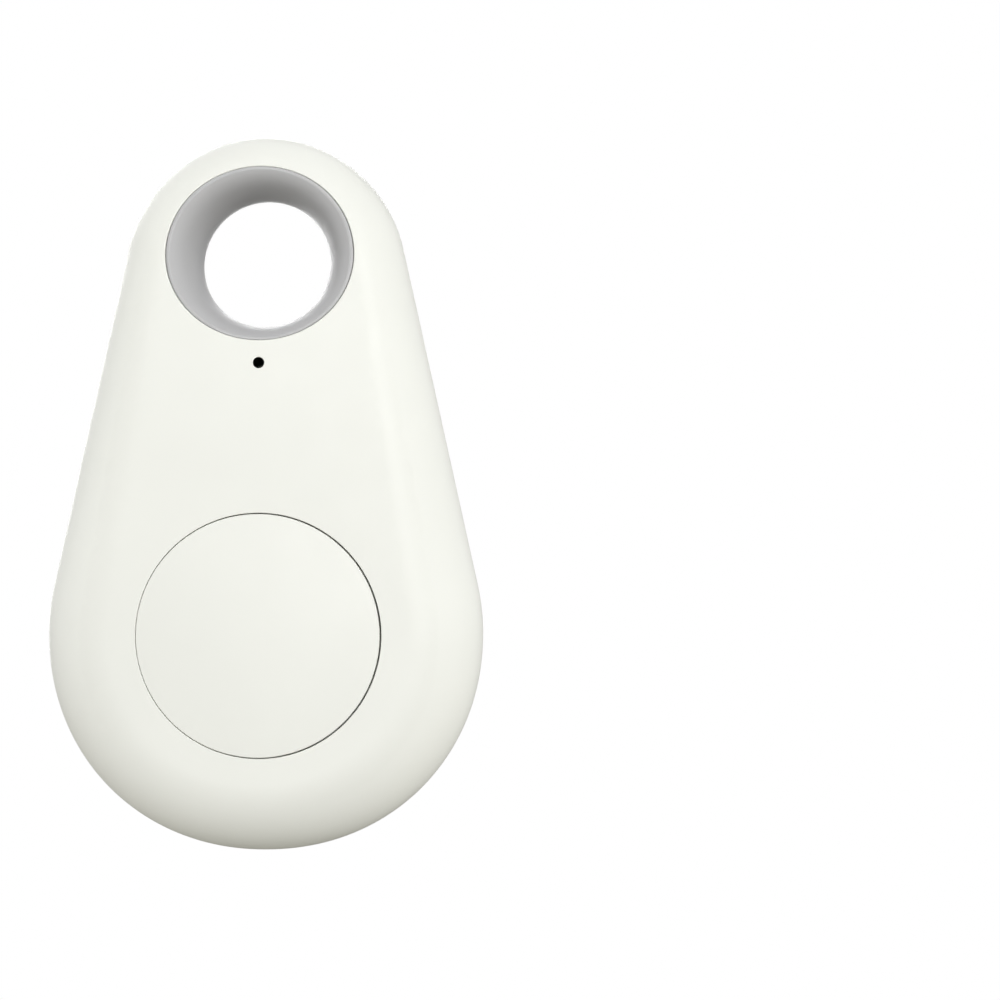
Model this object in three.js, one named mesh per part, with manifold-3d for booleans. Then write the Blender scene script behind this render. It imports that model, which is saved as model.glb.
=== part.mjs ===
// A Bluetooth tracker tag for a key ring. A teardrop case in two halves carries a lined hole for a split
// ring, a round push button on its front and a coin-slot battery cover on its back, and holds a circuit
// board, a tactile switch, a sounder and a coin cell.
//
// Millimetres. The tag hangs by its hole: Z is up, X is to the right seen from the front, and Y runs from
// the front to the back. The origin is the middle of the hole.

import * as THREE from 'three';
import { mergeVertices } from 'three/addons/utils/BufferGeometryUtils.js';
import Module from 'manifold-3d';

const wasm = await Module();
wasm.setup();

// ---------------------------------------------------------------- driving dimensions

// The outline is the hull of a small circle round the hole and a large one round the button.
const TOP_RADIUS = 10.25;
const BASE_RADIUS = 15.85;
const TOP_CENTRE_Z = -1.1;
const BASE_Z = -27; // centre of the button, the coin cell and the battery cover
const BASE_FULLNESS = 2.08; // superellipse exponent of the lower edge, where 2 is a circle

// Both faces are flat round the base and lean in towards the hole on a large radius.
const HALF_DEPTH = 5.5;
const CROWN_START_Z = -15.4;
const CROWN_RADIUS = 148;
const FRONT_EDGE = 0.334; // share of the outline's radius over which the front face rounds off
const REAR_EDGE = 0.25;
const WALL = 1.2;
const INNER_EDGE_LOSS = 0.03; // the inside rounds off over a slightly smaller share
const PARTING_GAP = 0.1;

const TONGUE = { outer: 0.65, inner: 1.2, reach: 0.8 }; // insets from the outline, and height
const GROOVE_CLEARANCE = 0.1;

// The mouth is a little lower than it is wide, and more so below its middle.
const HOLE = { throat: 4.72, mouth: 6.68, flattenAbove: 0.04, flattenBelow: 0.08 };
// The lining widens as the square of the distance from its waist, and faster in a bell at each mouth.
const LINER = { neck: 6.6, body: 7.15, lip: 6.46, rim: 4.64, shoulder: 3.4, gap: 0.09 };
const BELL = { share: 0.28, power: 10 };

const BUTTON = { radius: 8.6, flange: 9.4, nub: 1.5, face: -5.5, web: -4.5, flangeFront: -4.05, back: -3.6 };
const BUTTON_GAP = 0.12;
const PORT = { radius: 0.4, z: -7.75 };

const BOARD = { front: -1, back: 0, inset: 2.2, topZ: -5, holeRadius: 7.6 };
const POSTS = [[10, -16.3], [-10, -16.3], [5.5, -37], [-5.5, -37]];
const POST = { shoulder: 1.3, pin: 0.75, hole: 0.85, end: 0.35 };

const CELL = { radius: 10, front: 0.9, back: 4.1, skin: 0.25 };
const COVER = { radius: 11.55, seat: 4.3, skirtInner: 10.15, skirtOuter: 10.65, skirtEnd: 2.7 };
const COVER_GAP = 0.12;
const SEAT_GAP = 0.1;
const SEAL = { inner: 10.8, outer: 11.3, top: 4.62, clearance: 0.05 };
const LUG = { outer: 11.4, top: 3.35, degrees: 24, count: 3, firstDegrees: 90 };
const COVER_TURN = 27; // degrees from locked to open
const BAY = { inner: 10.3, outer: 12.6, front: 0.6, step: 2.5, ledge: 3.5, ledgeInner: 10.8, pocket: 11.6 };
const SLOT = { length: 11.6, width: 2, depth: 0.75 };

// Sunk marks on the back, at angles from the top as seen from behind.
const MARK = { size: 0.85, depth: 0.15 };
const OPEN_MARK = { radius: 13.65, degrees: 7.4 };
const LOCK_MARK = { radius: 13.8, degrees: 35 };
const COVER_MARK = { radius: 10.3, degrees: 37 };
const ARROW = { radius: 13.85, width: 0.3, from: 13.2, to: 25.5, tip: 28.4 };

const SWITCH = { side: 4.6, base: -2.3, frame: -2.5, plungerTop: -3, bore: 1.7, floor: -1.5, mouth: 1.15 };
const SOUNDER = { z: -12.6, side: 7.5, front: -3.55, bore: 3.3, lid: 0.4, mouth: 0.9 };

const TINY = 0.02; // clearance between parts that are soldered or pressed together

const AROUND = 48; // facets of a large round part
const AROUND_CELL = 36;
const AROUND_SMALL = 20;

// ---------------------------------------------------------------- materials

function plastic(color, roughness) {
  return new THREE.MeshStandardMaterial({ color, roughness, metalness: 0 });
}

function metal(color, roughness) {
  return new THREE.MeshStandardMaterial({ color, roughness, metalness: 1 });
}

const MATERIAL = {
  case: plastic('#f0f1eb', 0.45),
  liner: plastic('#b4b4b2', 0.35),
  board: plastic('#1f5c3a', 0.4),
  copper: metal('#c98a4b', 0.35),
  chip: plastic('#16171a', 0.5),
  black: plastic('#1d1d1f', 0.6),
  steel: metal('#c9cacb', 0.25),
  tin: metal('#d5d4cf', 0.35),
  brass: metal('#c7a45a', 0.3),
  ceramic: plastic('#b79a72', 0.6),
  ferrite: plastic('#3a3a3d', 0.7),
  lens: plastic('#f4f1dc', 0.2),
  gasket: plastic('#7d6a4d', 0.5),
  cathode: plastic('#1a1a1a', 0.9),
  seal: plastic('#8d8f90', 0.6),
};

// ---------------------------------------------------------------- solids

// A closed geometry as a manifold solid, without the triangles that collapse where vertices meet.
function toSolid(geometry) {
  const bare = new THREE.BufferGeometry();
  bare.setAttribute('position', geometry.getAttribute('position'));
  bare.setIndex(geometry.getIndex());
  const merged = mergeVertices(bare);
  const corners = merged.getIndex().array;
  const kept = [];
  for (let i = 0; i < corners.length; i += 3) {
    const [a, b, c] = [corners[i], corners[i + 1], corners[i + 2]];
    if (a !== b && b !== c && c !== a) kept.push(a, b, c);
  }
  return new wasm.Manifold(new wasm.Mesh({
    numProp: 3,
    vertProperties: new Float32Array(merged.getAttribute('position').array),
    triVerts: new Uint32Array(kept),
  }));
}

function toGeometry(solid) {
  const { vertProperties, triVerts } = solid.getMesh();
  const geometry = new THREE.BufferGeometry();
  geometry.setAttribute('position', new THREE.BufferAttribute(vertProperties, 3));
  geometry.setIndex(new THREE.BufferAttribute(triVerts, 1));
  geometry.computeVertexNormals();
  return geometry;
}

// A round solid about the Y axis through (x, z), between two depths.
function drum(radius, front, back, x = 0, z = 0, facets = AROUND) {
  const geometry = new THREE.CylinderGeometry(radius, radius, back - front, facets);
  return toSolid(geometry.translate(x, (front + back) / 2, z));
}

function block(width, front, back, height, x = 0, z = 0) {
  const geometry = new THREE.BoxGeometry(width, back - front, height);
  return toSolid(geometry.translate(x, (front + back) / 2, z));
}

// A profile of [radius, y] points turned about the Y axis through (0, z).
function turned(profile, z = 0, facets = AROUND) {
  const points = profile.map(([radius, y]) => new THREE.Vector2(radius, y));
  return toSolid(new THREE.LatheGeometry(points, facets).translate(0, 0, z));
}

// The same for a ring, whose profile closes on itself away from the axis.
function turnedRing(profile, z = 0, facets = AROUND) {
  return turned([...profile, profile[0]], z, facets);
}

// A flat ring between two radii and two depths.
function ring(inner, outer, front, back, z = 0, facets = AROUND) {
  return turnedRing([[inner, front], [outer, front], [outer, back], [inner, back]], z, facets);
}

// A shape drawn as (x, z) and extruded from front to back.
function extruded(shape, front, back, curveSegments = 12) {
  const options = { depth: back - front, bevelEnabled: false, curveSegments };
  const geometry = new THREE.ExtrudeGeometry(shape, options);
  return toSolid(geometry.rotateX(Math.PI / 2).translate(0, back, 0));
}

function joined(...solids) {
  return solids.reduce((whole, next) => whole.add(next));
}

function shapeOf(points) {
  return new THREE.Shape(points.map(([x, z]) => new THREE.Vector2(x, z)));
}

function polar(radius, degrees, centreZ = BASE_Z) {
  const angle = THREE.MathUtils.degToRad(degrees);
  return [radius * Math.cos(angle), centreZ + radius * Math.sin(angle)];
}

// A piece of a flat ring round the base centre, between two angles in degrees.
function sector(inner, outer, from, to) {
  const steps = Math.ceil((to - from) / 6);
  const angles = Array.from({ length: steps + 1 }, (_, i) => from + ((to - from) * i) / steps);
  const outside = angles.map((angle) => polar(outer, angle));
  const inside = angles.reverse().map((angle) => polar(inner, angle));
  return shapeOf([...outside, ...inside]);
}

// The outline of a strip of even width that follows a line of points, with mitred corners.
function strip(line, width) {
  const side = (sign) => line.map((point, i) => {
    const before = line[Math.max(i - 1, 0)];
    const after = line[Math.min(i + 1, line.length - 1)];
    const into = unit(i === 0 ? [after[0] - point[0], after[1] - point[1]]
      : [point[0] - before[0], point[1] - before[1]]);
    const out = unit(i === line.length - 1 ? into : [after[0] - point[0], after[1] - point[1]]);
    const mitre = unit([-(into[1] + out[1]), into[0] + out[0]]);
    const reach = (sign * width) / 2 / (mitre[0] * -into[1] + mitre[1] * into[0]);
    return [point[0] + mitre[0] * reach, point[1] + mitre[1] * reach];
  });
  return shapeOf([...side(-1), ...side(1).reverse()]);
}

function unit([x, y]) {
  const length = Math.hypot(x, y);
  return [x / length, y / length];
}

// ---------------------------------------------------------------- the case's surface

const SPINE = TOP_CENTRE_Z - BASE_Z;
const TAPER = (BASE_RADIUS - TOP_RADIUS) / SPINE;

// How far the lower edge stands outside a circle, at an angle from the X axis.
function fullness(angle) {
  if (Math.sin(angle) >= 0) return 1;
  const across = Math.abs(Math.cos(angle)) ** BASE_FULLNESS;
  const down = Math.abs(Math.sin(angle)) ** BASE_FULLNESS;
  return (across + down) ** (-1 / BASE_FULLNESS);
}

// Points round the outline, inset and then scaled by a share about its spine, anticlockwise from the front.
const STEPS = { top: 14, side: 5, base: 32 };
function outline(share, inset) {
  const top = share * (TOP_RADIUS - inset);
  const base = share * (BASE_RADIUS - inset);
  const tilt = Math.asin((base - top) / SPINE);
  const points = [];
  const arc = (radius, z, from, to, steps, radiusAt) => {
    for (let i = 0; i <= steps; i++) {
      const angle = from + ((to - from) * i) / steps;
      const reach = radius * radiusAt(angle);
      points.push([reach * Math.cos(angle), z + reach * Math.sin(angle)]);
    }
  };
  const line = (from, to) => {
    for (let i = 1; i < STEPS.side; i++) {
      const t = i / STEPS.side;
      points.push([from[0] + (to[0] - from[0]) * t, from[1] + (to[1] - from[1]) * t]);
    }
  };
  const tangent = (radius, z, sign) => [sign * radius * Math.cos(tilt), z + radius * Math.sin(tilt)];
  arc(top, TOP_CENTRE_Z, tilt, Math.PI - tilt, STEPS.top, () => 1);
  line(tangent(top, TOP_CENTRE_Z, -1), tangent(base, BASE_Z, -1));
  arc(base, BASE_Z, Math.PI - tilt, 2 * Math.PI + tilt, STEPS.base, fullness);
  line(tangent(base, BASE_Z, 1), tangent(top, TOP_CENTRE_Z, 1));
  return points;
}

// How far a point lies from the spine, as a share of the outline's own distance.
function shareAt(x, z) {
  const across = TOP_RADIUS - (z - TOP_CENTRE_Z) * TAPER;
  const share = Math.abs(x) / Math.hypot(across, x * TAPER);
  const rise = share * share * TAPER;
  const along = (TOP_CENTRE_Z + rise * TOP_RADIUS - z) / (SPINE - rise * (BASE_RADIUS - TOP_RADIUS));
  if (along < 0) return Math.hypot(x, z - TOP_CENTRE_Z) / TOP_RADIUS;
  if (along > 1) {
    return Math.hypot(x, z - BASE_Z) / (BASE_RADIUS * fullness(Math.atan2(z - BASE_Z, x)));
  }
  return share;
}

// Half the case's depth at a height, before the edges round off.
function crown(z) {
  return HALF_DEPTH - Math.max(0, z - CROWN_START_Z) ** 2 / (2 * CROWN_RADIUS);
}

// The case's half depth at a point of its front or its rear.
function surface(x, z, edge) {
  const past = Math.max(0, shareAt(x, z) - (1 - edge)) / edge;
  return crown(z) * Math.sqrt(1 - Math.min(1, past) ** 2);
}

// The whole case as one solid, inset on all sides.
function pebble(inset, edgeSteps, faceShares) {
  const positions = [];
  const index = [];
  const count = outline(1, inset).length;
  const addFace = (edge, side) => {
    const levels = [];
    for (let i = 0; i <= edgeSteps; i++) {
      const angle = ((Math.PI / 2) * i) / edgeSteps;
      levels.push([1 - edge + edge * Math.cos(angle), Math.sin(angle)]);
    }
    faceShares.forEach((share) => levels.push([share * (1 - edge), 1]));
    const start = positions.length / 3;
    levels.forEach(([share, rise]) => outline(share, inset).forEach(([x, z]) => {
      positions.push(x, side * (crown(z) - inset) * rise, z);
    }));
    for (let level = 0; level < levels.length - 1; level++) {
      for (let i = 0; i < count; i++) {
        const next = (i + 1) % count;
        const [a, b] = [start + level * count + i, start + level * count + next];
        const [c, d] = [b + count, a + count];
        if (side < 0) index.push(a, b, c, a, c, d);
        else index.push(a, c, b, a, d, c);
      }
    }
  };
  const loss = inset > 0 ? INNER_EDGE_LOSS : 0;
  addFace(FRONT_EDGE - loss, -1);
  addFace(REAR_EDGE - loss, 1);
  const geometry = new THREE.BufferGeometry();
  geometry.setAttribute('position', new THREE.Float32BufferAttribute(positions, 3));
  geometry.setIndex(index);
  return toSolid(geometry);
}

// A band that follows the outline between two insets.
function band(outer, inner, front, back) {
  const shape = shapeOf(outline(1, outer));
  shape.holes.push(shapeOf(outline(1, inner)));
  return extruded(shape, front, back);
}

const REACH = 20; // more than the tag's depth or half width
const frontHalf = block(4 * REACH, -REACH, -PARTING_GAP / 2, 8 * REACH);
const rearHalf = block(4 * REACH, PARTING_GAP / 2, REACH, 8 * REACH);
const wallSolid = pebble(0, 6, [0.7, 0]).subtract(pebble(WALL, 4, [0.7, 0]));

// Turned about the hole's axis, then flattened towards the mouth and bent to follow the case's faces.
function fittedToHole(profile, facets = AROUND) {
  const points = profile.map(([radius, y]) => new THREE.Vector2(radius, y));
  const geometry = new THREE.LatheGeometry(points, facets);
  const at = geometry.getAttribute('position');
  for (let i = 0; i < at.count; i++) {
    const [x, y] = [at.getX(i), at.getY(i)];
    const opening = (Math.hypot(x, at.getZ(i)) - HOLE.throat) / (HOLE.mouth - HOLE.throat);
    const flatten = at.getZ(i) > 0 ? HOLE.flattenAbove : HOLE.flattenBelow;
    const z = at.getZ(i) * (1 - flatten * Math.max(0, opening));
    at.setXYZ(i, x, (y * surface(x, z, y < 0 ? FRONT_EDGE : REAR_EDGE)) / crown(0), z);
  }
  return toSolid(geometry);
}

const seatDepth = LINER.shoulder + LINER.gap;
const seatRadius = LINER.body + LINER.gap;
const linerSeat = fittedToHole([
  [0, -seatDepth], [LINER.neck, -seatDepth], [seatRadius, -seatDepth],
  [seatRadius, seatDepth], [LINER.neck, seatDepth], [0, seatDepth],
]);
const holeMouth = fittedToHole([[0, -REACH], [HOLE.mouth, -REACH], [HOLE.mouth, REACH], [0, REACH]]);

// A small triangle that points down.
function pointer({ radius, degrees }) {
  const [x, z] = polar(radius, 90 + degrees);
  const reach = MARK.size / 2;
  return shapeOf([[x, z - reach], [x + reach, z + reach], [x - reach, z + reach]]);
}

// A curved arrow round the base centre, from the open mark towards the locked one.
function turnArrow() {
  const { radius, width, from, to, tip } = ARROW;
  const steps = 6;
  const arc = (reach) => Array.from({ length: steps + 1 },
    (_, i) => polar(reach, 90 + from + ((to - from) * i) / steps));
  const head = [
    polar(radius + MARK.size / 2, 90 + to), polar(radius, 90 + tip), polar(radius - MARK.size / 2, 90 + to),
  ];
  return shapeOf([...arc(radius + width / 2), ...head, ...arc(radius - width / 2).reverse()]);
}

// ---------------------------------------------------------------- case parts

function frontShell() {
  const posts = POSTS.map(([x, z]) => joined(
    drum(POST.shoulder, -HALF_DEPTH, BOARD.front - TINY, x, z, AROUND_SMALL),
    drum(POST.pin, BOARD.front - 0.5, POST.end, x, z, AROUND_SMALL),
  ));
  const inWall = pebble(WALL / 2, 4, [0.7, 0]);
  const guide = ring(BUTTON.flange + 0.35, BUTTON.flange + 1.1, -HALF_DEPTH + WALL * 0.8, -2.6, BASE_Z);
  const groove = band(
    TONGUE.outer - GROOVE_CLEARANCE, TONGUE.inner + GROOVE_CLEARANCE, -TONGUE.reach - GROOVE_CLEARANCE, 1);
  return joined(wallSolid.intersect(frontHalf), guide)
    .subtract(groove)
    .add(joined(...posts).intersect(inWall))
    .subtract(linerSeat)
    .subtract(holeMouth)
    .subtract(drum(BUTTON.radius + BUTTON_GAP, -REACH, -3, 0, BASE_Z))
    .subtract(drum(PORT.radius, -REACH, -2, 0, PORT.z, AROUND_SMALL));
}

// The bay for the coin cell: a wall that holds it, a pocket for the cover's lugs and a ledge above that.
function batteryBay() {
  const { inner, outer, front, step, ledge, ledgeInner, pocket } = BAY;
  const top = COVER.seat + 0.2;
  return turnedRing([
    [inner, front], [outer, front], [outer, top], [ledgeInner, top],
    [ledgeInner, ledge], [pocket, ledge], [pocket, step], [inner, step],
  ], BASE_Z);
}

// A gap in the ledge for each lug, wide enough for it to pass at either end of the cover's turn.
function lugWay(index) {
  const middle = LUG.firstDegrees + (360 * index) / LUG.count;
  const margin = LUG.degrees / 2 + 1.5;
  const shape = sector(BAY.ledgeInner - 0.4, BAY.pocket, middle - COVER_TURN - margin, middle + margin);
  return extruded(shape, BAY.ledge - 0.1, COVER.seat + 0.1);
}

function rearShell() {
  const tongue = band(TONGUE.outer, TONGUE.inner, -TONGUE.reach, 1.5);
  const ways = Array.from({ length: LUG.count }, (_, i) => lugWay(i));
  const clipNotch = block(1.5, -1, BAY.step + 0.1, 5, BAY.inner + 0.3, BASE_Z);
  const signs = [pointer(OPEN_MARK), pointer(LOCK_MARK), turnArrow()];
  const marks = signs.map((sign) => extruded(sign, HALF_DEPTH - MARK.depth, REACH));
  return joined(wallSolid.intersect(rearHalf), tongue, batteryBay())
    .subtract(linerSeat)
    .subtract(holeMouth)
    .subtract(drum(COVER.radius + COVER_GAP, COVER.seat - SEAT_GAP, REACH, 0, BASE_Z))
    .subtract(joined(...ways, clipNotch, ...marks));
}

// The lining of the hole: waisted inside, with a shoulder that each half of the case holds.
function ringLiner() {
  const { neck, body, lip, rim, shoulder } = LINER;
  const halves = 5;
  const waist = Array.from({ length: 2 * halves + 1 }, (_, i) => {
    const along = Math.sin((Math.PI / 2) * (1 - i / halves));
    const flare = (1 - BELL.share) * along ** 2 + BELL.share * along ** BELL.power;
    return [HOLE.throat + (lip - HOLE.throat) * flare, along * (rim - 0.05)];
  });
  const outside = [
    [neck - 0.1, -rim], [neck, -rim + 0.1], [neck, -shoulder], [body, -shoulder],
    [body, shoulder], [neck, shoulder], [neck, rim - 0.1], [neck - 0.1, rim],
  ];
  const profile = [...outside, ...waist];
  return fittedToHole([...profile, profile[0]]);
}

function buttonCap() {
  const { radius, flange, nub, face, web, flangeFront, back } = BUTTON;
  const nubEnd = SWITCH.plungerTop - 0.05;
  return turned([
    [0, face], [radius - 0.15, face], [radius, face + 0.15], [radius, flangeFront],
    [flange, flangeFront], [flange, back], [radius - 0.8, back], [radius - 0.8, web],
    [nub, web], [nub, nubEnd], [0, nubEnd],
  ], BASE_Z);
}

// The coin slot is cut by a disc on its edge, so that its floor is an arc.
function coinSlot() {
  const radius = ((SLOT.length / 2) ** 2 + SLOT.depth ** 2) / (2 * SLOT.depth);
  const disc = new THREE.CylinderGeometry(radius, radius, SLOT.width, 3 * AROUND);
  disc.rotateZ(Math.PI / 2).translate(0, HALF_DEPTH - SLOT.depth + radius, BASE_Z);
  return toSolid(disc);
}

function batteryCover() {
  const { radius, seat, skirtInner, skirtOuter, skirtEnd } = COVER;
  const cap = turned([
    [0, seat], [skirtInner, seat], [skirtInner, skirtEnd], [skirtOuter, skirtEnd], [skirtOuter, seat],
    [radius, seat], [radius, HALF_DEPTH - 0.15], [radius - 0.15, HALF_DEPTH], [0, HALF_DEPTH],
  ], BASE_Z);
  const lugs = Array.from({ length: LUG.count }, (_, i) => {
    const middle = LUG.firstDegrees + (360 * i) / LUG.count;
    const shape = sector(skirtInner + 0.1, LUG.outer, middle - LUG.degrees / 2, middle + LUG.degrees / 2);
    return extruded(shape, skirtEnd, LUG.top);
  });
  const mark = extruded(pointer(COVER_MARK), HALF_DEPTH - MARK.depth, REACH);
  const { inner, outer, top, clearance } = SEAL;
  const groove = ring(inner - clearance, outer + clearance, seat - 0.01, top + clearance, BASE_Z);
  return joined(cap.subtract(groove), ...lugs).subtract(coinSlot()).subtract(mark);
}

// A thin rubber ring that sits in the cover's groove and presses on the ledge.
function coverSeal() {
  const { inner, outer, top } = SEAL;
  return ring(inner, outer, COVER.seat - SEAT_GAP + TINY, top, BASE_Z);
}

// ---------------------------------------------------------------- circuit board

function circuitBoard() {
  const { inset, topZ, holeRadius } = BOARD;
  const board = extruded(shapeOf(outline(1, inset)), BOARD.front, BOARD.back);
  const above = block(4 * REACH, -REACH, REACH, 2 * REACH, 0, topZ + REACH);
  const holes = POSTS.map(([x, z]) => drum(POST.hole, -REACH, REACH, x, z, AROUND_SMALL));
  return board.subtract(above).subtract(joined(drum(holeRadius, -REACH, REACH), ...holes));
}

// A meander of copper round the board's lower edge.
function antenna() {
  const [inner, outer, teeth, pitch, width] = [11.6, 13, 8, 4.2, 0.4];
  const line = [];
  for (let i = 0; i <= teeth; i++) {
    const angle = 270 + (i - teeth / 2) * pitch;
    const radii = i % 2 ? [outer, inner] : [inner, outer];
    radii.forEach((radius) => line.push(polar(radius, angle)));
  }
  return extruded(strip(line, width), BOARD.front - 0.07, BOARD.front - TINY);
}

// A chip part: a body between two slightly larger end caps, soldered on the board's front.
function chipPart(length, width, height, x, z, upright) {
  const back = BOARD.front - TINY;
  const sizes = (long, wide) => (upright ? [wide, long] : [long, wide]);
  const piece = (long, wide, tall, shift) => {
    const [dx, dz] = sizes(long, wide);
    return block(dx, back - tall, back, dz, x + (upright ? 0 : shift), z + (upright ? shift : 0));
  };
  const cap = length * 0.24;
  const ends = [-1, 1].map((side) => piece(cap, width, height, (side * (length - cap)) / 2));
  return joined(piece(length - cap, width * 0.94, height * 0.94, 0), ...ends);
}

function radioChip() {
  const [x, z, side, cut] = [6.9, -11.6, 2.5, 0.4];
  const corner = shapeOf([
    [x - side, z - side], [x + side, z - side], [x + side, z + side], [x - side + cut, z + side],
    [x - side, z + side - cut],
  ]);
  return extruded(corner, BOARD.front - 0.85, BOARD.front - TINY);
}

function inductor() {
  const [x, z] = [-6.9, -14.2];
  return joined(
    block(3, BOARD.front - 0.4, BOARD.front - TINY, 3, x, z),
    drum(1.35, BOARD.front - 1.1, BOARD.front - 0.3, x, z, AROUND_SMALL),
    block(3, BOARD.front - 1.5, BOARD.front - 1, 3, x, z),
  );
}

const crystal = () => block(3.2, BOARD.front - 0.75, BOARD.front - TINY, 2.5, -6.3, -10);
const statusLed = () => block(1, BOARD.front - 0.5, BOARD.front - TINY, 0.55, 0, PORT.z - 0.1);

// ---------------------------------------------------------------- tactile switch

function switchBase() {
  const { side, base, bore, floor } = SWITCH;
  return block(side, base, BOARD.front - TINY, side, 0, BASE_Z)
    .subtract(drum(bore, base - 1, floor, 0, BASE_Z, AROUND_SMALL));
}

function switchFrame() {
  const { side, base, frame, mouth } = SWITCH;
  return block(side, frame, base - TINY, side, 0, BASE_Z)
    .subtract(drum(mouth, frame - 1, 0, 0, BASE_Z, AROUND_SMALL));
}

function switchPlunger() {
  const top = SWITCH.plungerTop;
  return turned([[0, top], [1.05, top], [1.05, -2.27], [1.5, -2.27], [1.5, -2.05], [0, -2.05]],
    BASE_Z, AROUND_SMALL);
}

function switchDome() {
  return turned([
    [0, -1.78], [0.8, -1.74], [1.6, -1.6], [1.6, -1.53], [0.8, -1.67], [0, -1.71],
  ], BASE_Z, AROUND_SMALL);
}

// ---------------------------------------------------------------- sounder

function sounderCase() {
  const { z, side, front, bore, lid, mouth } = SOUNDER;
  return block(side, front, BOARD.front - TINY, side, 0, z)
    .subtract(drum(bore, front + lid, 0, 0, z, AROUND_SMALL))
    .subtract(drum(mouth, -REACH, 0, 0, z, AROUND_SMALL));
}

function sounderYoke() {
  return turned([[0, -2.3], [0.6, -2.3], [0.6, -1.35], [3.1, -1.35], [3.1, -1.1], [0, -1.1]],
    SOUNDER.z, AROUND_SMALL);
}

const sounderCoil = () => ring(0.7, 1.7, -2.2, -1.4, SOUNDER.z, AROUND_SMALL);
const sounderMagnet = () => ring(2.1, 3.1, -2.35, -1.4, SOUNDER.z, AROUND_SMALL);

function sounderDiaphragm() {
  return turned([[0, -2.85], [1.2, -2.85], [1.2, -2.65], [3.15, -2.65], [3.15, -2.57], [0, -2.57]],
    SOUNDER.z, AROUND_SMALL);
}

// ---------------------------------------------------------------- coin cell and contacts

function cellCan() {
  const { radius, front, back, skin } = CELL;
  const crimp = 9.2;
  return turned([
    [0, back - skin], [radius - skin, back - skin], [radius - skin, front + 0.55], [crimp, front + 0.45],
    [crimp, front + 0.2], [radius - 0.2, front + 0.3], [radius, front + 0.5],
    [radius, back - 0.3], [radius - 0.3, back], [0, back],
  ], BASE_Z, AROUND_CELL);
}

function cellGasket() {
  const { radius, front, back, skin } = CELL;
  const outer = radius - skin - TINY;
  return turnedRing([
    [8.75, front + 0.15], [9.15, front + 0.15], [9.15, front + 0.5], [outer, front + 0.6],
    [outer, back - 1.6], [outer - 0.3, back - 1.6], [outer - 0.3, front + 0.75], [8.75, front + 0.75],
  ], BASE_Z, AROUND_CELL);
}

function cellCap() {
  const { front, skin } = CELL;
  return turned([
    [0, front], [8.4, front], [8.7, front + 0.2], [8.7, front + 0.8], [9.35, front + 0.8],
    [9.35, front + 0.8 + skin], [8.45, front + 0.8 + skin], [8.45, front + skin], [0, front + skin],
  ], BASE_Z, AROUND_CELL);
}

const cellLithium = () => drum(8.3, CELL.front + 0.3, CELL.front + 0.95, 0, BASE_Z, AROUND_SMALL);
const cellCathode = () => drum(9, CELL.front + 1.2, CELL.back - CELL.skin - TINY, 0, BASE_Z, AROUND_SMALL);

// A contact bent from sheet: a side view drawn as (x, y), extruded across the tag.
function bentContact(line, thickness, width) {
  const options = { depth: width, bevelEnabled: false };
  const geometry = new THREE.ExtrudeGeometry(strip(line, thickness), options);
  return toSolid(geometry.translate(0, 0, BASE_Z - width / 2));
}

const negativeContact = () => bentContact(
  [[-6, 0.1], [-2.5, 0.1], [1.5, 0.76], [2.6, 0.76], [4, 0.45]], 0.15, 3);
const positiveContact = () => bentContact([[8, 0.1], [10.16, 0.1], [10.16, 2.4]], 0.15, 4);

// ---------------------------------------------------------------- assembly

const tag = new THREE.Group();

function add(name, solid, material) {
  const mesh = new THREE.Mesh(toGeometry(solid), material);
  mesh.name = name;
  tag.add(mesh);
}

add('front_shell', frontShell(), MATERIAL.case);
add('rear_shell', rearShell(), MATERIAL.case);
add('ring_liner', ringLiner(), MATERIAL.liner);
add('button_cap', buttonCap(), MATERIAL.case);
add('battery_cover', batteryCover(), MATERIAL.case);
add('cover_seal', coverSeal(), MATERIAL.seal);

add('circuit_board', circuitBoard(), MATERIAL.board);
add('antenna_trace', antenna(), MATERIAL.copper);
add('radio_chip', radioChip(), MATERIAL.chip);
add('crystal', crystal(), MATERIAL.tin);
add('inductor', inductor(), MATERIAL.ferrite);
add('status_led', statusLed(), MATERIAL.lens);

add('switch_base', switchBase(), MATERIAL.black);
add('switch_frame', switchFrame(), MATERIAL.steel);
add('switch_plunger', switchPlunger(), MATERIAL.black);
add('switch_dome', switchDome(), MATERIAL.steel);

add('sounder_case', sounderCase(), MATERIAL.black);
add('sounder_yoke', sounderYoke(), MATERIAL.steel);
add('sounder_coil', sounderCoil(), MATERIAL.copper);
add('sounder_magnet', sounderMagnet(), MATERIAL.ferrite);
add('sounder_diaphragm', sounderDiaphragm(), MATERIAL.brass);

add('cell_can', cellCan(), MATERIAL.steel);
add('cell_gasket', cellGasket(), MATERIAL.gasket);
add('cell_cap', cellCap(), MATERIAL.steel);
add('cell_lithium', cellLithium(), MATERIAL.tin);
add('cell_cathode', cellCathode(), MATERIAL.cathode);
add('negative_contact', negativeContact(), MATERIAL.tin);
add('positive_contact', positiveContact(), MATERIAL.tin);

// Length, width and height of each kind of chip part, and where each one sits, as [x, z, upright].
const CAPACITORS = {
  size: [1.6, 0.8, 0.8],
  at: [[7, -15.6, false], [4.9, -8, true], [-9, -11.6, true], [11.8, -28, true]],
};
const RESISTORS = {
  size: [1, 0.5, 0.35],
  at: [[7.4, -8.2, true], [-7.2, -7.6, true], [-11.8, -24, true], [-11.9, -29, true]],
};

CAPACITORS.at.forEach(([x, z, upright], i) => {
  add(`capacitor_${i + 1}`, chipPart(...CAPACITORS.size, x, z, upright), MATERIAL.ceramic);
});
RESISTORS.at.forEach(([x, z, upright], i) => {
  add(`resistor_${i + 1}`, chipPart(...RESISTORS.size, x, z, upright), MATERIAL.chip);
});

export default tag;
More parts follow.
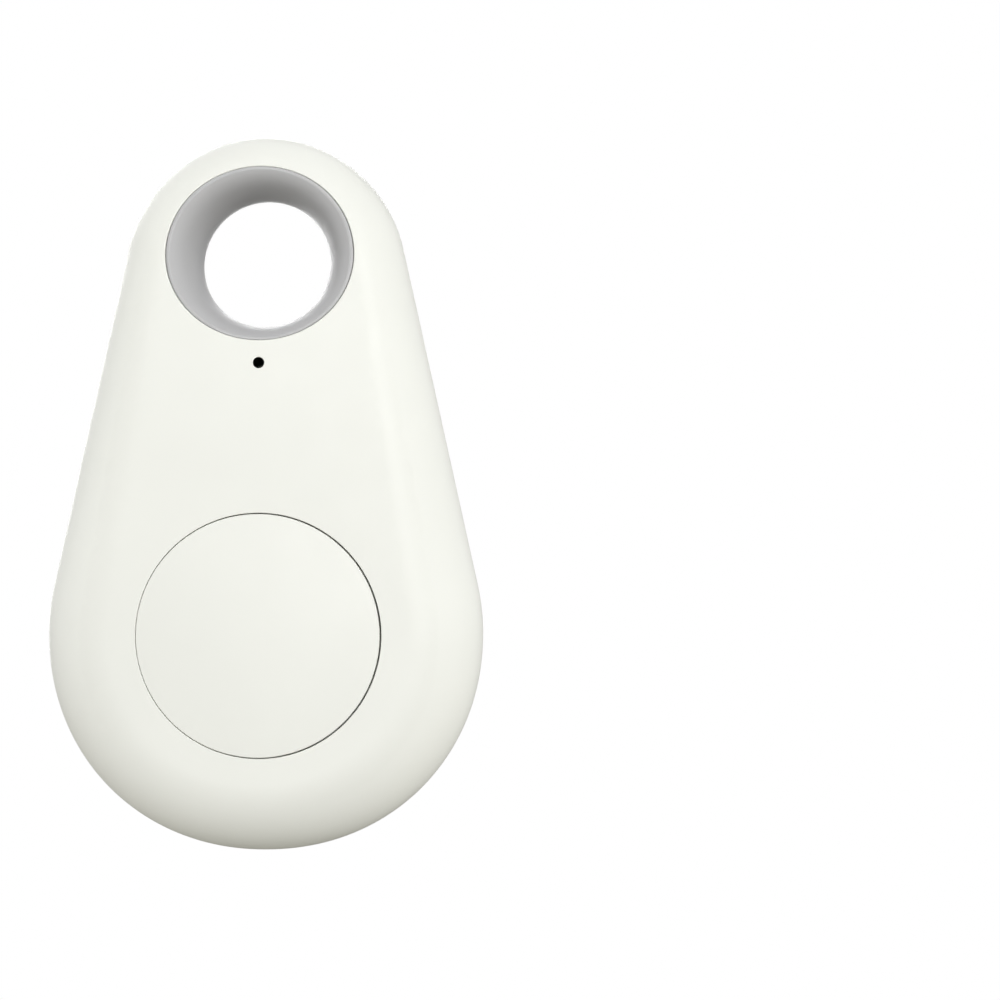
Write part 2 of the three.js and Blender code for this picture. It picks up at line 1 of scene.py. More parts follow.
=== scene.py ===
"""Looks for a Bluetooth tracker tag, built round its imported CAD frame.

Shapes are worked out in millimetres and made in metres. The tag hangs with Z up and its front faces -Y. The
origin is the middle of its ring hole.
"""

import math
from typing import NamedTuple

import bmesh
import bpy
import numpy as np
from mathutils import Matrix, Vector
from mathutils.geometry import delaunay_2d_cdt


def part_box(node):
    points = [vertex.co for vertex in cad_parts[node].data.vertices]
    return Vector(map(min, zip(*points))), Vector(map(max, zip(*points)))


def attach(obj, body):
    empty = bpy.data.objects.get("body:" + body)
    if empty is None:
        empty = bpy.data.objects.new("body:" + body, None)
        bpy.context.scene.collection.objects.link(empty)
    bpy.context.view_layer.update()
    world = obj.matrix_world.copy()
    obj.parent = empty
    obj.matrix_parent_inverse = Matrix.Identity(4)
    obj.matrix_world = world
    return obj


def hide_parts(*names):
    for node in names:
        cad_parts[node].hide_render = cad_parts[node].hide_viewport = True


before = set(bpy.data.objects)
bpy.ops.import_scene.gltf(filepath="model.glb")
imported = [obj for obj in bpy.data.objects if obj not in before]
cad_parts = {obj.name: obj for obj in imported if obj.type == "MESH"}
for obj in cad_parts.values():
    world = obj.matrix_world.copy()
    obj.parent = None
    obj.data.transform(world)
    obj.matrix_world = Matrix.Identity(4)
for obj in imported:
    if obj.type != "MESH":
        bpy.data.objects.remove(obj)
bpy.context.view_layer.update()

MM = 0.001

# ---------------- the case's surface, as in the CAD source

TOP_RADIUS = 10.25
BASE_RADIUS = 15.85
TOP_Z = -1.1
BASE_Z = -27.0
FULLNESS = 2.08
HALF_DEPTH = 5.5
CROWN_START_Z = -15.4
CROWN_RADIUS = 148.0
EDGE = {-1: 0.334, 1: 0.25}  # share of the outline over which each face rounds off, front and back
WALL = 1.2
INNER_EDGE_LOSS = 0.03  # how much less of the hollow's outline rounds off
PARTING = 0.05  # half the gap between the two halves
EDGE_FOOT = 0.14  # how far from the parting the edge's curve starts
EDGE_LOOPS = 0.19  # share of the outline that the edge's loops cover, before the face takes over
INNER_LOOPS = 0.12  # the same for the hollow
TOP_STEPS, SIDE_STEPS, BASE_STEPS = 44, 20, 104  # of the outline

SPINE = TOP_Z - BASE_Z
TAPER = (BASE_RADIUS - TOP_RADIUS) / SPINE

THROAT = 4.72
MOUTH = 6.68
MOUTH_FLATTEN = (0.04, 0.08)  # above and below its middle
ROUND = (0.0, 0.0)
BUTTON_RADIUS = 8.58
BUTTON_HOLE = 8.66
COVER_RADIUS = 11.575
COVER_HOLE = 11.655
FLARE = 0.02  # how far a cap widens below its edge
PORT_RADIUS = 0.4
PORT_Z = -7.75


def full_turn(count):
    return np.linspace(0, 2 * math.pi, count, endpoint=False)


def polar(reach, angle, x=0.0, z=BASE_Z):
    """Points (x, z) at a reach and an angle from a middle."""
    return np.column_stack([x + reach * np.cos(angle), z + reach * np.sin(angle)])


def fullness(angle):
    """How far the lower edge stands outside a circle, at an angle from the X axis."""
    across = np.abs(np.cos(angle)) ** FULLNESS
    down = np.abs(np.sin(angle)) ** FULLNESS
    return np.where(np.sin(angle) >= 0, 1.0, (across + down) ** (-1 / FULLNESS))


def outline(share, inset=0.0):
    """Points (x, z) round the outline, scaled by a share about its spine."""
    r_top = share * (TOP_RADIUS - inset)
    r_base = share * (BASE_RADIUS - inset)
    tilt = math.asin((r_base - r_top) / SPINE)

    def arc(radius, z, start, end, steps, full):
        angle = np.linspace(start, end, steps + 1)
        return polar(radius * (fullness(angle) if full else 1.0), angle, z=z)

    upper = arc(r_top, TOP_Z, tilt, math.pi - tilt, TOP_STEPS, False)
    lower = arc(r_base, BASE_Z, math.pi - tilt, 2 * math.pi + tilt, BASE_STEPS, True)
    t = np.linspace(0, 1, SIDE_STEPS + 1)[1:-1, None]
    left = upper[-1] * (1 - t) + lower[0] * t
    right = lower[-1] * (1 - t) + upper[0] * t
    return np.vstack([upper, left, lower, right])


def share_at(x, z, inset=0.0):
    """How far a point lies from the spine, as a share of the inset outline's own distance."""
    r_top, r_base = TOP_RADIUS - inset, BASE_RADIUS - inset
    across = r_top - (z - TOP_Z) * TAPER
    share = np.abs(x) / np.hypot(across, x * TAPER)
    rise = share * share * TAPER
    along = (TOP_Z + rise * r_top - z) / (SPINE - rise * (r_base - r_top))
    top = np.hypot(x, z - TOP_Z) / r_top
    angle = np.arctan2(z - BASE_Z, x)
    base = np.hypot(x, z - BASE_Z) / (r_base * fullness(angle))
    return np.where(along < 0, top, np.where(along > 1, base, share))


def crown(z):
    return HALF_DEPTH - np.maximum(0, z - CROWN_START_Z) ** 2 / (2 * CROWN_RADIUS)


def surface(x, z, side, inset=0.0):
    """Half the depth of the case, or of its hollow, at a point."""
    edge = EDGE[side] - (INNER_EDGE_LOSS if inset else 0)
    past = np.maximum(0, share_at(x, z, inset) - (1 - edge)) / edge
    return (crown(z) - inset) * np.sqrt(np.maximum(0, 1 - np.minimum(1, past) ** 2))


# ---------------- sunk marks and the coin slot


def smooth(t):
    t = np.clip(t, 0, 1)
    return t * t * (3 - 2 * t)


def back_polar(radius, degrees):
    """A point of the back, at an angle clockwise from the top as seen from behind."""
    angle = math.radians(90 + degrees)
    return radius * math.cos(angle), BASE_Z + radius * math.sin(angle)


def inside_polygon(x, z, corners):
    """Distance into a convex polygon given anticlockwise in (x, z), negative outside it."""
    depth = np.full(np.shape(x), np.inf)
    for (ax, az), (bx, bz) in zip(corners, corners[1:] + corners[:1]):
        length = math.hypot(bx - ax, bz - az)
        depth = np.minimum(depth, ((bx - ax) * (z - az) - (bz - az) * (x - ax)) / length)
    return depth


def pointer(radius, degrees):
    """A triangle that points down."""
    x, z = back_polar(radius, degrees)
    reach = 0.45
    return [(x, z - reach), (x + reach, z + reach), (x - reach, z + reach)]


MARK_DEPTH = 0.12
MARK_SOFT = 0.2
ARROW = {"radius": 13.85, "width": 0.34, "from": 13.2, "to": 25.5, "tip": 28.6}
SHELL_POINTERS = [pointer(13.65, 7.4), pointer(13.8, 35)]
COVER_POINTER = pointer(10.3, 37)
ARROW_HEAD = [
    back_polar(ARROW["radius"] - 0.45, ARROW["to"]),
    back_polar(ARROW["radius"] + 0.45, ARROW["to"]),
    back_polar(ARROW["radius"], ARROW["tip"]),
]


def sunk(depth_inside):
    return MARK_DEPTH * smooth(depth_inside / MARK_SOFT + 0.5)


def arrow_inside(x, z):
    radius = np.hypot(x, z - BASE_Z)
    degrees = np.degrees(np.arctan2(z - BASE_Z, x)) - 90
    across = ARROW["width"] / 2 - np.abs(radius - ARROW["radius"])
    per_degree = math.radians(ARROW["radius"])
    along = np.minimum(degrees - ARROW["from"], ARROW["to"] + 1 - degrees) * per_degree
    return np.maximum(np.minimum(across, along), inside_polygon(x, z, ARROW_HEAD))


def shell_marks(x, z):
    marks = [inside_polygon(x, z, mark) for mark in SHELL_POINTERS]
    return sunk(np.maximum.reduce([*marks, arrow_inside(x, z)]))


def no_marks(x, z):
    return 0.0


def slot_depth(x, z):
    """The coin slot: a scoop with a steep wall, a long soft slope across from it and round ends."""
    depth, half_length, end = 0.78, 6.0, 1.2
    wall, wall_width = 1.0, 0.32
    slope, slope_width = 1.5, 1.7
    along = np.abs(z - BASE_Z)
    scoop = np.maximum(0, 1 - (along / half_length) ** 3) ** 0.8
    past = np.maximum(0, along - half_length + end) / end
    rounding = 1 - np.sqrt(np.maximum(0, 1 - past ** 2))
    steep = smooth((wall * (1 - 0.75 * rounding) + x) / wall_width)
    soft = smooth((slope * (1 - 0.6 * rounding) - x) / slope_width)
    return depth * scoop * steep * soft * smooth((half_length - along) / end)


def cover_marks(x, z):
    return np.maximum(sunk(inside_polygon(x, z, COVER_POINTER)), slot_depth(x, z))


# ---------------- mesh building


def in_polygon(x, z, loop):
    """Which points lie inside a closed loop, by the even-odd rule."""
    inside = np.zeros(np.shape(x), bool)
    for (ax, az), (bx, bz) in zip(loop, np.roll(loop, -1, axis=0)):
        if az == bz:
            continue
        crosses = (az > z) != (bz > z)
        inside ^= crosses & (x < (bx - ax) * (z - az) / (bz - az) + ax)
    return inside


def unit_rows(vectors):
    return vectors / np.linalg.norm(vectors, axis=1)[:, None]


def at_depth(points, y):
    """Points (x, z) as (x, y, z), all at one depth or each at its own."""
    return np.column_stack([points[:, 0], np.broadcast_to(y, len(points)), points[:, 1]])


def level(x, z):
    """The lift of a flat patch."""
    return np.column_stack([x, 0 * x, z]), None


class Solid:
    """A closed mesh made of loops of points, bridges between them and triangulated patches."""

    def __init__(self):
        self.points = []
        self.normals = []
        self.faces = []

    def loop(self, points, normals=None):
        first = len(self.points)
        self.points.extend(tuple(map(float, p)) for p in points)
        known = [None] * len(points) if normals is None else [tuple(map(float, n)) for n in normals]
        self.normals.extend(known)
        return list(range(first, len(self.points)))

    def flat_loop(self, points, y, normals=None):
        return self.loop(at_depth(points, y), normals)

    def circles(self, profile, count, x=0.0, z=BASE_Z):
        """Loops about a line along Y, one for each (radius, y) of a profile."""
        return [self.flat_loop(circle(radius, count, x, z), y) for radius, y in profile]

    def bridge(self, a, b):
        count = len(a)
        for i in range(count):
            j = (i + 1) % count
            self.faces.append((a[i], a[j], b[j], b[i]))

    def skin(self, loops):
        """Bridges each loop to the next."""
        for a, b in zip(loops, loops[1:]):
            self.bridge(a, b)

    def cap(self, a, point):
        centre = self.loop([point])[0]
        for i in range(len(a)):
            self.faces.append((a[i], a[(i + 1) % len(a)], centre))

    def patch(self, outer, holes, free=(), lift=level):
        """Fills the space inside one loop and outside others, through free points that lift() raises."""
        loops = [outer, *holes]
        flat = [[(self.points[i][0], self.points[i][2]) for i in loop] for loop in loops]
        verts, edges, ids = [], [], []
        for loop, points in zip(loops, flat):
            start = len(verts)
            verts.extend(Vector(p) for p in points)
            ids.extend(loop)
            edges.extend((start + i, start + (i + 1) % len(loop)) for i in range(len(loop)))
        verts.extend(Vector(p) for p in free)
        co, _, faces, origin, _, _ = delaunay_2d_cdt(verts, edges, [], 0, 1e-7)
        made = [next((ids[s] for s in sources if s < len(ids)), None) for sources in origin]
        fresh = [i for i, index in enumerate(made) if index is None]
        xz = np.array([tuple(co[i]) for i in fresh]).reshape(-1, 2)
        for i, index in zip(fresh, self.loop(*lift(*xz.T))):
            made[i] = index
        centre = np.array([np.mean([tuple(co[i]) for i in face], axis=0) for face in faces])
        keep = in_polygon(*centre.T, np.array(flat[0]))
        for hole in flat[1:]:
            keep &= ~in_polygon(*centre.T, np.array(hole))
        self.faces.extend(tuple(made[i] for i in face) for face, k in zip(faces, keep) if k)

    def build(self, name, material, sharp=32):
        used = sorted({i for face in self.faces for i in face})
        number = {old: new for new, old in enumerate(used)}
        faces = [tuple(number[i] for i in face) for face in self.faces]
        mesh = bpy.data.meshes.new(name)
        mesh.from_pydata([tuple(c * MM for c in self.points[i]) for i in used], [], faces)
        mesh.materials.append(material)
        finish_mesh(mesh, sharp, [self.normals[i] for i in used])
        return placed(name, mesh)


def placed(name, data, at=(0, 0, 0)):
    """A new object in the scene, at a place in millimetres."""
    thing = bpy.data.objects.new(name, data)
    thing.location = Vector(at) * MM
    bpy.context.scene.collection.objects.link(thing)
    return thing


def finish_mesh(mesh, sharp, normals):
    """Faces out, smooth shading up to an angle, and the surface's own normals where they are known."""
    bm = bmesh.new()
    bm.from_mesh(mesh)
    bmesh.ops.recalc_face_normals(bm, faces=bm.faces)
    for edge in bm.edges:
        edge.smooth = len(edge.link_faces) == 2 and edge.calc_face_angle(0) < math.radians(sharp)
    for face in bm.faces:
        face.smooth = True
    bm.to_mesh(mesh)
    bm.free()
    if any(n is not None for n in normals):
        corners = [Vector(c.vector) for c in mesh.corner_normals]
        for i, corner in enumerate(mesh.loops):
            own = normals[corner.vertex_index]
            if own is not None:
                corners[i] = Vector(own)
        mesh.normals_split_custom_set(corners)


def lifted(height, side, facing=1):
    """A patch's lift, which raises points to a height and gives normals that face out (1) or in (-1)."""
    step = 0.004

    def lift(x, z):
        dx = (height(x + step, z) - height(x - step, z)) / (2 * step)
        dz = (height(x, z + step) - height(x, z - step)) / (2 * step)
        normals = unit_rows(np.column_stack([-dx, np.ones(len(x)), -dz]))
        normals[:, 1] *= side
        return np.column_stack([x, side * height(x, z), z]), normals * facing

    return lift


def circle(radius, count, x=0.0, z=BASE_Z, flatten=ROUND):
    """Points round a circle, which may be flattened by one share above its middle and another below."""
    angle = full_turn(count)
    rise = radius * np.sin(angle)
    return np.column_stack([x + radius * np.cos(angle), z + rise * (1 - np.where(rise > 0, *flatten))])


class Hole(NamedTuple):
    """A hole on the case's middle line, with a rounded lip."""

    radius: float
    count: int
    lip: float
    z: float = BASE_Z
    flatten: tuple = ROUND
    undercut: float = 0.0

    def ring(self, radius, fewer=1):
        """Points round the hole at a radius of their own, and some times fewer than on its rim."""
        return circle(radius, self.count // fewer, 0.0, self.z, self.flatten)

    def reach(self, points):
        """How far points lie from the hole's middle, counted before it is flattened."""
        rise = points[:, 1] - self.z
        return np.hypot(points[:, 0], rise / (1 - np.where(rise > 0, *self.flatten)))


def grid(x0, x1, z0, z1, step):
    """A staggered grid of points."""
    rows = []
    for i, z in enumerate(np.arange(z0, z1, step * 0.866)):
        x = np.arange(x0 + (i % 2) * step / 2, x1, step)
        rows.append(np.column_stack([x, np.full(len(x), z)]))
    return np.vstack(rows)


def within(points, radius):
    """Those of the points that lie within a radius of the base's middle."""
    return points[np.hypot(points[:, 0], points[:, 1] - BASE_Z) < radius]


def round_lip(solid, lift, side, hole):
    """A hole's rounded rim and its wall. Gives the loop on the surface and the loop at the wall's foot."""
    steps = 6
    loops = []
    for i in range(steps + 1):
        turn = math.pi / 2 * i / steps
        points = hole.ring(hole.radius + hole.lip * (1 - math.sin(turn)))
        raised, normals = lift(*points.T)
        raised[:, 1] -= side * hole.lip * (1 - math.cos(turn))
        inward = unit_rows(at_depth([0, hole.z] - points, 0))
        loops.append(solid.loop(raised, normals * math.cos(turn) + inward * math.sin(turn)))
    points = hole.ring(hole.radius + hole.undercut)
    loops.append(solid.flat_loop(points, side * surface(*points.T, side, WALL)))
    solid.skin(loops)
    return loops[0], loops[-1]


# ---------------- case


def edge_loop(turn, edge, inset=0.0):
    """Points (x, z) round the case or its hollow, at one angle up its rounded edge, and their depths."""
    points = outline(1 - edge + edge * math.cos(turn), inset)
    return points, (crown(points[:, 1]) - inset) * math.sin(turn)


def shell(name, side, marks, holes, fine, material):
    """Half of the case: its outside, its inside, the rounded rims of its holes and the parting edge."""
    solid = Solid()
    edge = EDGE[side]
    lift = lifted(lambda x, z: surface(x, z, side) - marks(x, z), side)

    # Outside, from the parting edge to where the face takes over.
    rim = outline(1.0)
    outward = unit_rows(rim - outline(0.98))
    parting_edge = ((0.1, PARTING), (0.04, PARTING + 0.015), (0.0, PARTING + 0.06))
    loops = [solid.flat_loop(rim - outward * inset, side * y) for inset, y in parting_edge]
    start = math.asin(EDGE_FOOT / HALF_DEPTH)
    turns = np.linspace(0, 1, 22) * (math.acos(1 - EDGE_LOOPS / edge) - start) + start
    for turn in turns:
        points, y = edge_loop(turn, edge)
        ahead, ahead_y = edge_loop(turn + 1e-3, edge)
        inward = np.linalg.norm(ahead - points, axis=1)
        normals = unit_rows(at_depth(outward * (ahead_y - y)[:, None], side * inward))
        loops.append(solid.flat_loop(points, side * y, normals))
    solid.skin(loops)

    # The face, pierced by its holes.
    face_share = 1 - edge + edge * math.cos(turns[-1])
    rims, feet = zip(*(round_lip(solid, lift, side, hole) for hole in holes))
    free = [outline(s) for s in np.arange(face_share - 0.02, 1 - edge - 0.03, -0.02)]
    free.append(grid(-16, 16, -44, 11, 0.8))
    for hole in holes:
        for gap, fewer in ((0.06, 1), (0.2, 1), (0.45, 2)):
            free.append(hole.ring(hole.radius + hole.lip + gap, fewer))
    free = np.vstack([*free, fine])
    keep = share_at(*free.T) < face_share - 0.008
    for hole in holes:
        keep &= hole.reach(free) > hole.radius + hole.lip + 0.04
    solid.patch(loops[-1], rims, free[keep], lift)

    # The inside, out to the feet of the holes' walls.
    inner = [solid.flat_loop(outline(1.0, WALL), side * PARTING)]
    inner_edge = edge - INNER_EDGE_LOSS
    for turn in np.linspace(0.15, math.acos(1 - INNER_LOOPS / inner_edge), 8):
        points, y = edge_loop(turn, inner_edge, WALL)
        inner.append(solid.flat_loop(points, side * y))
    solid.skin(inner)
    solid.bridge(loops[0], inner[0])
    free = grid(-14, 14, -42, 9, 1.0)
    keep = share_at(*free.T, WALL) < 0.85
    for hole in holes:
        keep &= hole.reach(free) > hole.radius + 0.4
    solid.patch(inner[-1], feet, free[keep], lifted(lambda x, z: surface(x, z, side, WALL), side, -1))
    return solid.build(name, material)


MOUTH_HOLE = Hole(MOUTH, 160, 0.1, 0.0, MOUTH_FLATTEN)
BUTTON_OPENING = Hole(BUTTON_HOLE, 160, 0.05)
COVER_OPENING = Hole(COVER_HOLE, 200, 0.05)
PORT_OPENING = Hole(PORT_RADIUS, 32, 0.03, PORT_Z, undercut=0.3)


def front_shell():
    holes = [MOUTH_HOLE, BUTTON_OPENING, PORT_OPENING]
    fine = grid(-1.5, 1.5, PORT_Z - 1.5, PORT_Z + 1.2, 0.3)
    return shell("front_shell_skin", -1, no_marks, holes, fine, case_white)


def rear_shell():
    fine = grid(-9.4, 0.2, -16.6, -11.9, 0.1)
    return shell("rear_shell_skin", 1, shell_marks, [MOUTH_HOLE, COVER_OPENING], fine, case_white)


def parting_tongue():
    """The rear half's tongue, which stands in the front half's wall and closes the line between them."""
    solid = Solid()
    section = ((0.3, -0.8), (0.3, 1.0), (WALL - 0.05, 1.0), (WALL - 0.05, -0.8))
    loops = [solid.flat_loop(outline(1.0, inset), y) for inset, y in section]
    solid.skin([*loops, loops[0]])
    return solid.build("rear_shell_tongue", case_white)


def rounded(corners, radius=0.1, steps=4):
    """A line of (r, y) corners with the inner ones rounded off, by a size of their own as (r, y, size)."""
    out = [tuple(corners[0][:2])]
    for before, corner, after in zip(corners, corners[1:], corners[2:]):
        before, here, after = (np.array(c[:2], float) for c in (before, corner, after))
        back, on = before - here, after - here
        size = corner[2] if len(corner) > 2 else radius
        size = min(size, 0.48 * np.linalg.norm(back), 0.48 * np.linalg.norm(on))
        start = here + back / np.linalg.norm(back) * size
        end = here + on / np.linalg.norm(on) * size
        for t in np.linspace(0, 1, steps + 1):
            out.append(tuple((1 - t) ** 2 * start + 2 * t * (1 - t) * here + t * t * end))
    return [*out, tuple(corners[-1][:2])]


def turned(name, profile, material, count=160, x=0.0, z=BASE_Z, place=None, sharp=32, columns=None):
    """A profile of (radius, y) points turned about a line along Y: a ring, unless it ends on the axis."""
    solid = Solid()
    angle = full_turn(count) if columns is None else columns
    solid_core = profile[0][0] == 0
    loops = []
    for radius, y in profile[1:-1] if solid_core else profile:
        reach = radius(angle) if callable(radius) else radius
        points = at_depth(polar(reach, angle, x, z), y)
        loops.append(solid.loop(place(points) if place else points))
    solid.skin(loops)
    if solid_core:
        solid.cap(loops[0], (x, profile[0][1], z))
        solid.cap(loops[-1], (x, profile[-1][1], z))
    else:
        solid.bridge(loops[-1], loops[0])
    return solid.build(name, material, sharp)


def washer(name, inner, outer, front, back, material, edge=0.05, **how):
    """A flat ring with rounded edges."""
    start = ((inner + outer) / 2, front)
    corners = [start, (outer, front), (outer, back), (inner, back), (inner, front), start]
    return turned(name, rounded(corners, edge)[:-1], material, **how)


BUTTON_PLAY = (-0.044, 0.0)
COVER_PLAY = (-0.045, -0.022)


def nudged(piece, play):
    """Moved a hair across its hole, so that the seam round it isn't even."""
    piece.data.transform(Matrix.Translation(Vector((play[0], 0, play[1])) * MM))
    return piece


LINER_FLATTEN = (0.036, 0.077)  # a little less than the mouth's, so that the seam narrows above and below
BELL_SHARE = 0.34  # of the lining's flare, what comes quickly at each mouth


def ring_liner():
    """The waisted lining of the hole, bent to follow both faces of the case."""
    def fitted(points):
        x, y, z = points.T
        opening = np.maximum(0, (np.hypot(x, z) - THROAT) / (MOUTH - THROAT))
        z = z * (1 - opening * np.where(z > 0, *LINER_FLATTEN))
        scale = np.where(y < 0, surface(x, z, -1), surface(x, z, 1)) / crown(0.0)
        return np.column_stack([x, y * scale, z])

    lip, neck, body = 6.34, 6.64, 7.15
    rim, shoulder = 4.66, 3.4
    along = np.sin(np.linspace(1, -1, 65) * math.pi / 2)
    flare = (1 - BELL_SHARE) * along ** 2 + BELL_SHARE * np.abs(along) ** 9
    waist = list(zip(THROAT + (lip - THROAT) * flare, along * (rim - 0.03)))
    outside = [
        (lip + 0.03, rim - 0.01), (lip + 0.05, rim), (neck - 0.05, rim), (neck - 0.01, rim - 0.03),
        (neck, rim - 0.1), (neck, shoulder), (body, shoulder),
    ]
    profile = [*((radius, -y) for radius, y in outside), *outside[::-1], *waist]
    return turned("ring_liner_skin", profile, liner_grey, z=0.0, place=fitted, sharp=50)


def button_cap():
    r, f = BUTTON_RADIUS, -HALF_DEPTH
    profile = rounded([
        (0, f), (r, f, 0.07), (r, f + 0.2, 0.05), (r + FLARE, f + 0.4), (r + FLARE, -4.05, 0.05),
        (9.4, -4.05), (9.4, -3.6), (7.8, -3.6), (7.8, -4.5), (1.5, -4.5, 0.2), (1.5, -3.05, 0.2),
        (0, -3.05),
    ])
    return nudged(turned("button_cap_skin", profile, button_white), BUTTON_PLAY)


def battery_cover():
    """The cover: its flat face with the coin slot and mark, its rounded edge, seal groove and skirt."""
    solid = Solid()
    r, lip, count = COVER_RADIUS, 0.07, 200
    loops = []
    for turn in np.linspace(0, math.pi / 2, 7):
        reach = r - lip * (1 - math.sin(turn))
        points = circle(reach, count)
        normals = at_depth((points - [0, BASE_Z]) / reach * math.sin(turn), math.cos(turn))
        loops.append(solid.flat_loop(points, HALF_DEPTH - lip * (1 - math.cos(turn)), normals))
    under = [
        (r + FLARE, HALF_DEPTH - 0.4), (r + FLARE, 4.36), (r - 0.06, 4.3), (11.38, 4.3), (11.38, 4.68),
        (10.72, 4.68), (10.72, 4.3), (10.65, 4.3), (10.65, 2.76), (10.59, 2.7), (10.21, 2.7), (10.15, 2.76),
        (10.15, 4.3),
    ]
    loops += solid.circles(under, count)
    solid.skin(loops)
    solid.cap(loops[-1], (0, 4.3, BASE_Z))
    free = np.vstack([
        grid(-12, 12, -39, -15, 0.8),
        grid(-1.6, 1.6, BASE_Z - 6.5, BASE_Z + 6.5, 0.085),
        grid(-7.4, -5.2, -19.6, -17.2, 0.085),
        *[circle(r - lip - gap, count) for gap in (0.05, 0.2)],
    ])
    lift = lifted(lambda x, z: HALF_DEPTH - cover_marks(x, z), 1)
    solid.patch(loops[0], [], within(free, r - lip - 0.03), lift)
    return nudged(solid.build("battery_cover_skin", case_white), COVER_PLAY)


def cover_lug(name, middle):
    """One of the blocks that hold the cover, at an angle in degrees."""
    steps = 8
    angle = np.radians(np.linspace(middle - LUG_HALF, middle + LUG_HALF, steps + 1))
    rim = np.vstack([polar(11.4, angle), polar(10.55, angle[::-1])])
    solid = Solid()
    loops = [solid.flat_loop(rim, y) for y in (2.7, 3.35)]
    solid.bridge(*loops)
    for loop in loops:
        for i in range(steps):
            solid.faces.append((loop[i], loop[i + 1], loop[2 * steps - i], loop[2 * steps + 1 - i]))
    return bevelled(solid.build(name, case_white), 0.08)


def bevelled(piece, width, segments=2):
    bevel = piece.modifiers.new("edge", "BEVEL")
    bevel.width = width * MM
    bevel.segments = segments
    bevel.limit_method = "ANGLE"
    bevel.angle_limit = math.radians(35)
    bevel.harden_normals = True
    return piece


def plate(name, outer, front, back, material, holes=(), bevel=0.05, segments=2):
    """A flat piece: an outline of (x, z) points between two depths, with bevelled edges and holes."""
    solid = Solid()
    rims = [[solid.flat_loop(points, y) for y in (front, back)] for points in (outer, *holes)]
    for near, far in rims:
        solid.bridge(near, far)
    for outer_rim, *hole_rims in zip(*rims):
        solid.patch(outer_rim, hole_rims)
    return bevelled(solid.build(name, material), bevel, segments)


def rectangle(width, height, x, z, corner):
    """The outline of a rectangle with round corners, anticlockwise."""
    w, h = width / 2 - corner, height / 2 - corner
    turn = np.linspace(0, math.pi / 2, 6)
    return np.vstack([
        polar(corner, (quarter - 1) * math.pi / 2 + turn, x + sx * w, z + sz * h)
        for quarter, (sx, sz) in enumerate([(1, -1), (1, 1), (-1, 1), (-1, -1)])])


def blocks(name, boxes, material, bevel=0.04):
    """Rounded blocks in one mesh, each given by its lowest and highest corners."""
    solid = Solid()
    for (x0, y0, z0), (x1, y1, z1) in boxes:
        near, far = (solid.loop([(x0, y, z0), (x1, y, z0), (x1, y, z1), (x0, y, z1)]) for y in (y0, y1))
        solid.bridge(near, far)
        solid.faces += [tuple(near), tuple(far)]
    return bevelled(solid.build(name, material), bevel)


def ribbons(name, routes, width, low, high, material):
    """Flat strips of even width that follow routes of (x, z) points, between two depths."""
    solid = Solid()
    for route in routes:
        route = np.array(route, float)
        ahead = unit_rows(np.diff(route, axis=0))
        into, out = np.vstack([ahead[:1], ahead]), np.vstack([ahead, ahead[-1:]])
        mitre = unit_rows(into + out)
        reach = width / 2 / np.sum(mitre * into, axis=1)
        across = np.column_stack([-mitre[:, 1], mitre[:, 0]]) * reach[:, None]
        sections = [
            solid.loop([(a[0], low, a[1]), (a[0], high, a[1]), (b[0], high, b[1]), (b[0], low, b[1])])
            for a, b in zip(route + across, route - across)]
        solid.skin(sections)
        solid.faces += [tuple(sections[0]), tuple(sections[-1])]
    return solid.build(name, material)


def bent_sheet(name, outer, holes, bend, thickness, material):
    """A flat blank of (along, z) points, bent to follow a line of (x, y) points."""
    solid = Solid()
    bend = np.array(rounded(bend, 0.45, 8))
    lengths = np.concatenate([[0], np.cumsum(np.linalg.norm(np.diff(bend, axis=0), axis=1))])
    tangent = unit_rows(np.gradient(bend, lengths, axis=0))

    def place(along, z, side):
        x, y, tx, ty = (np.interp(along, lengths, way) for way in (*bend.T, *tangent.T))
        reach = side * thickness / 2
        return np.column_stack([x - ty * reach, y + tx * reach, z])

    free = grid(outer[:, 0].min(), outer[:, 0].max(), outer[:, 1].min(), outer[:, 1].max(), 0.2)
    free = free[in_polygon(*free.T, outer)]
    sides = []
    for side in (-1, 1):
        rims = [solid.flat_loop(points, 0) for points in (outer, *holes)]
        solid.patch(rims[0], rims[1:], free)
        first = rims[0][0]
        made = np.array(solid.points[first:])
        solid.points[first:] = [tuple(p) for p in place(made[:, 0], made[:, 2], side)]
        sides.append(rims)
    for near, far in zip(*sides):
        solid.bridge(near, far)
    return solid.build(name, material)


LUGS = [90, 210, 330]
LUG_HALF = 12
COVER_TURN = 27


def battery_bay():
    """The cell's bay with its ledge, which is cut away where the cover's lugs go past."""
    inner, pocket, outer = 10.3, 11.6, 12.6
    front, step, ledge, top = 0.6, 2.5, 3.5, 4.2
    spare = LUG_HALF + 1.5
    gaps = [(middle - COVER_TURN - spare, middle + spare) for middle in LUGS]
    steps = [a + d for gap in gaps for a in gap for d in (-0.15, 0.15)]
    degrees = np.unique(np.mod(np.concatenate([np.linspace(0, 360, 180, endpoint=False), steps]), 360))

    def ledge_reach(angle):
        turn = np.degrees(angle)
        cut = np.zeros(len(turn), bool)
        for a, b in gaps:
            cut |= np.mod(turn - a, 360) < (b - a)
        return np.where(cut, pocket - 0.03, 10.8)

    profile = [
        (inner, front), (outer, front), (outer, top + 0.15), (pocket + 0.05, top + 0.15),
        (pocket + 0.05, top), (ledge_reach, top), (ledge_reach, ledge), (pocket, ledge), (pocket, step),
        (inner, step),
    ]
    return turned("battery_bay", profile, case_white, columns=np.radians(degrees))


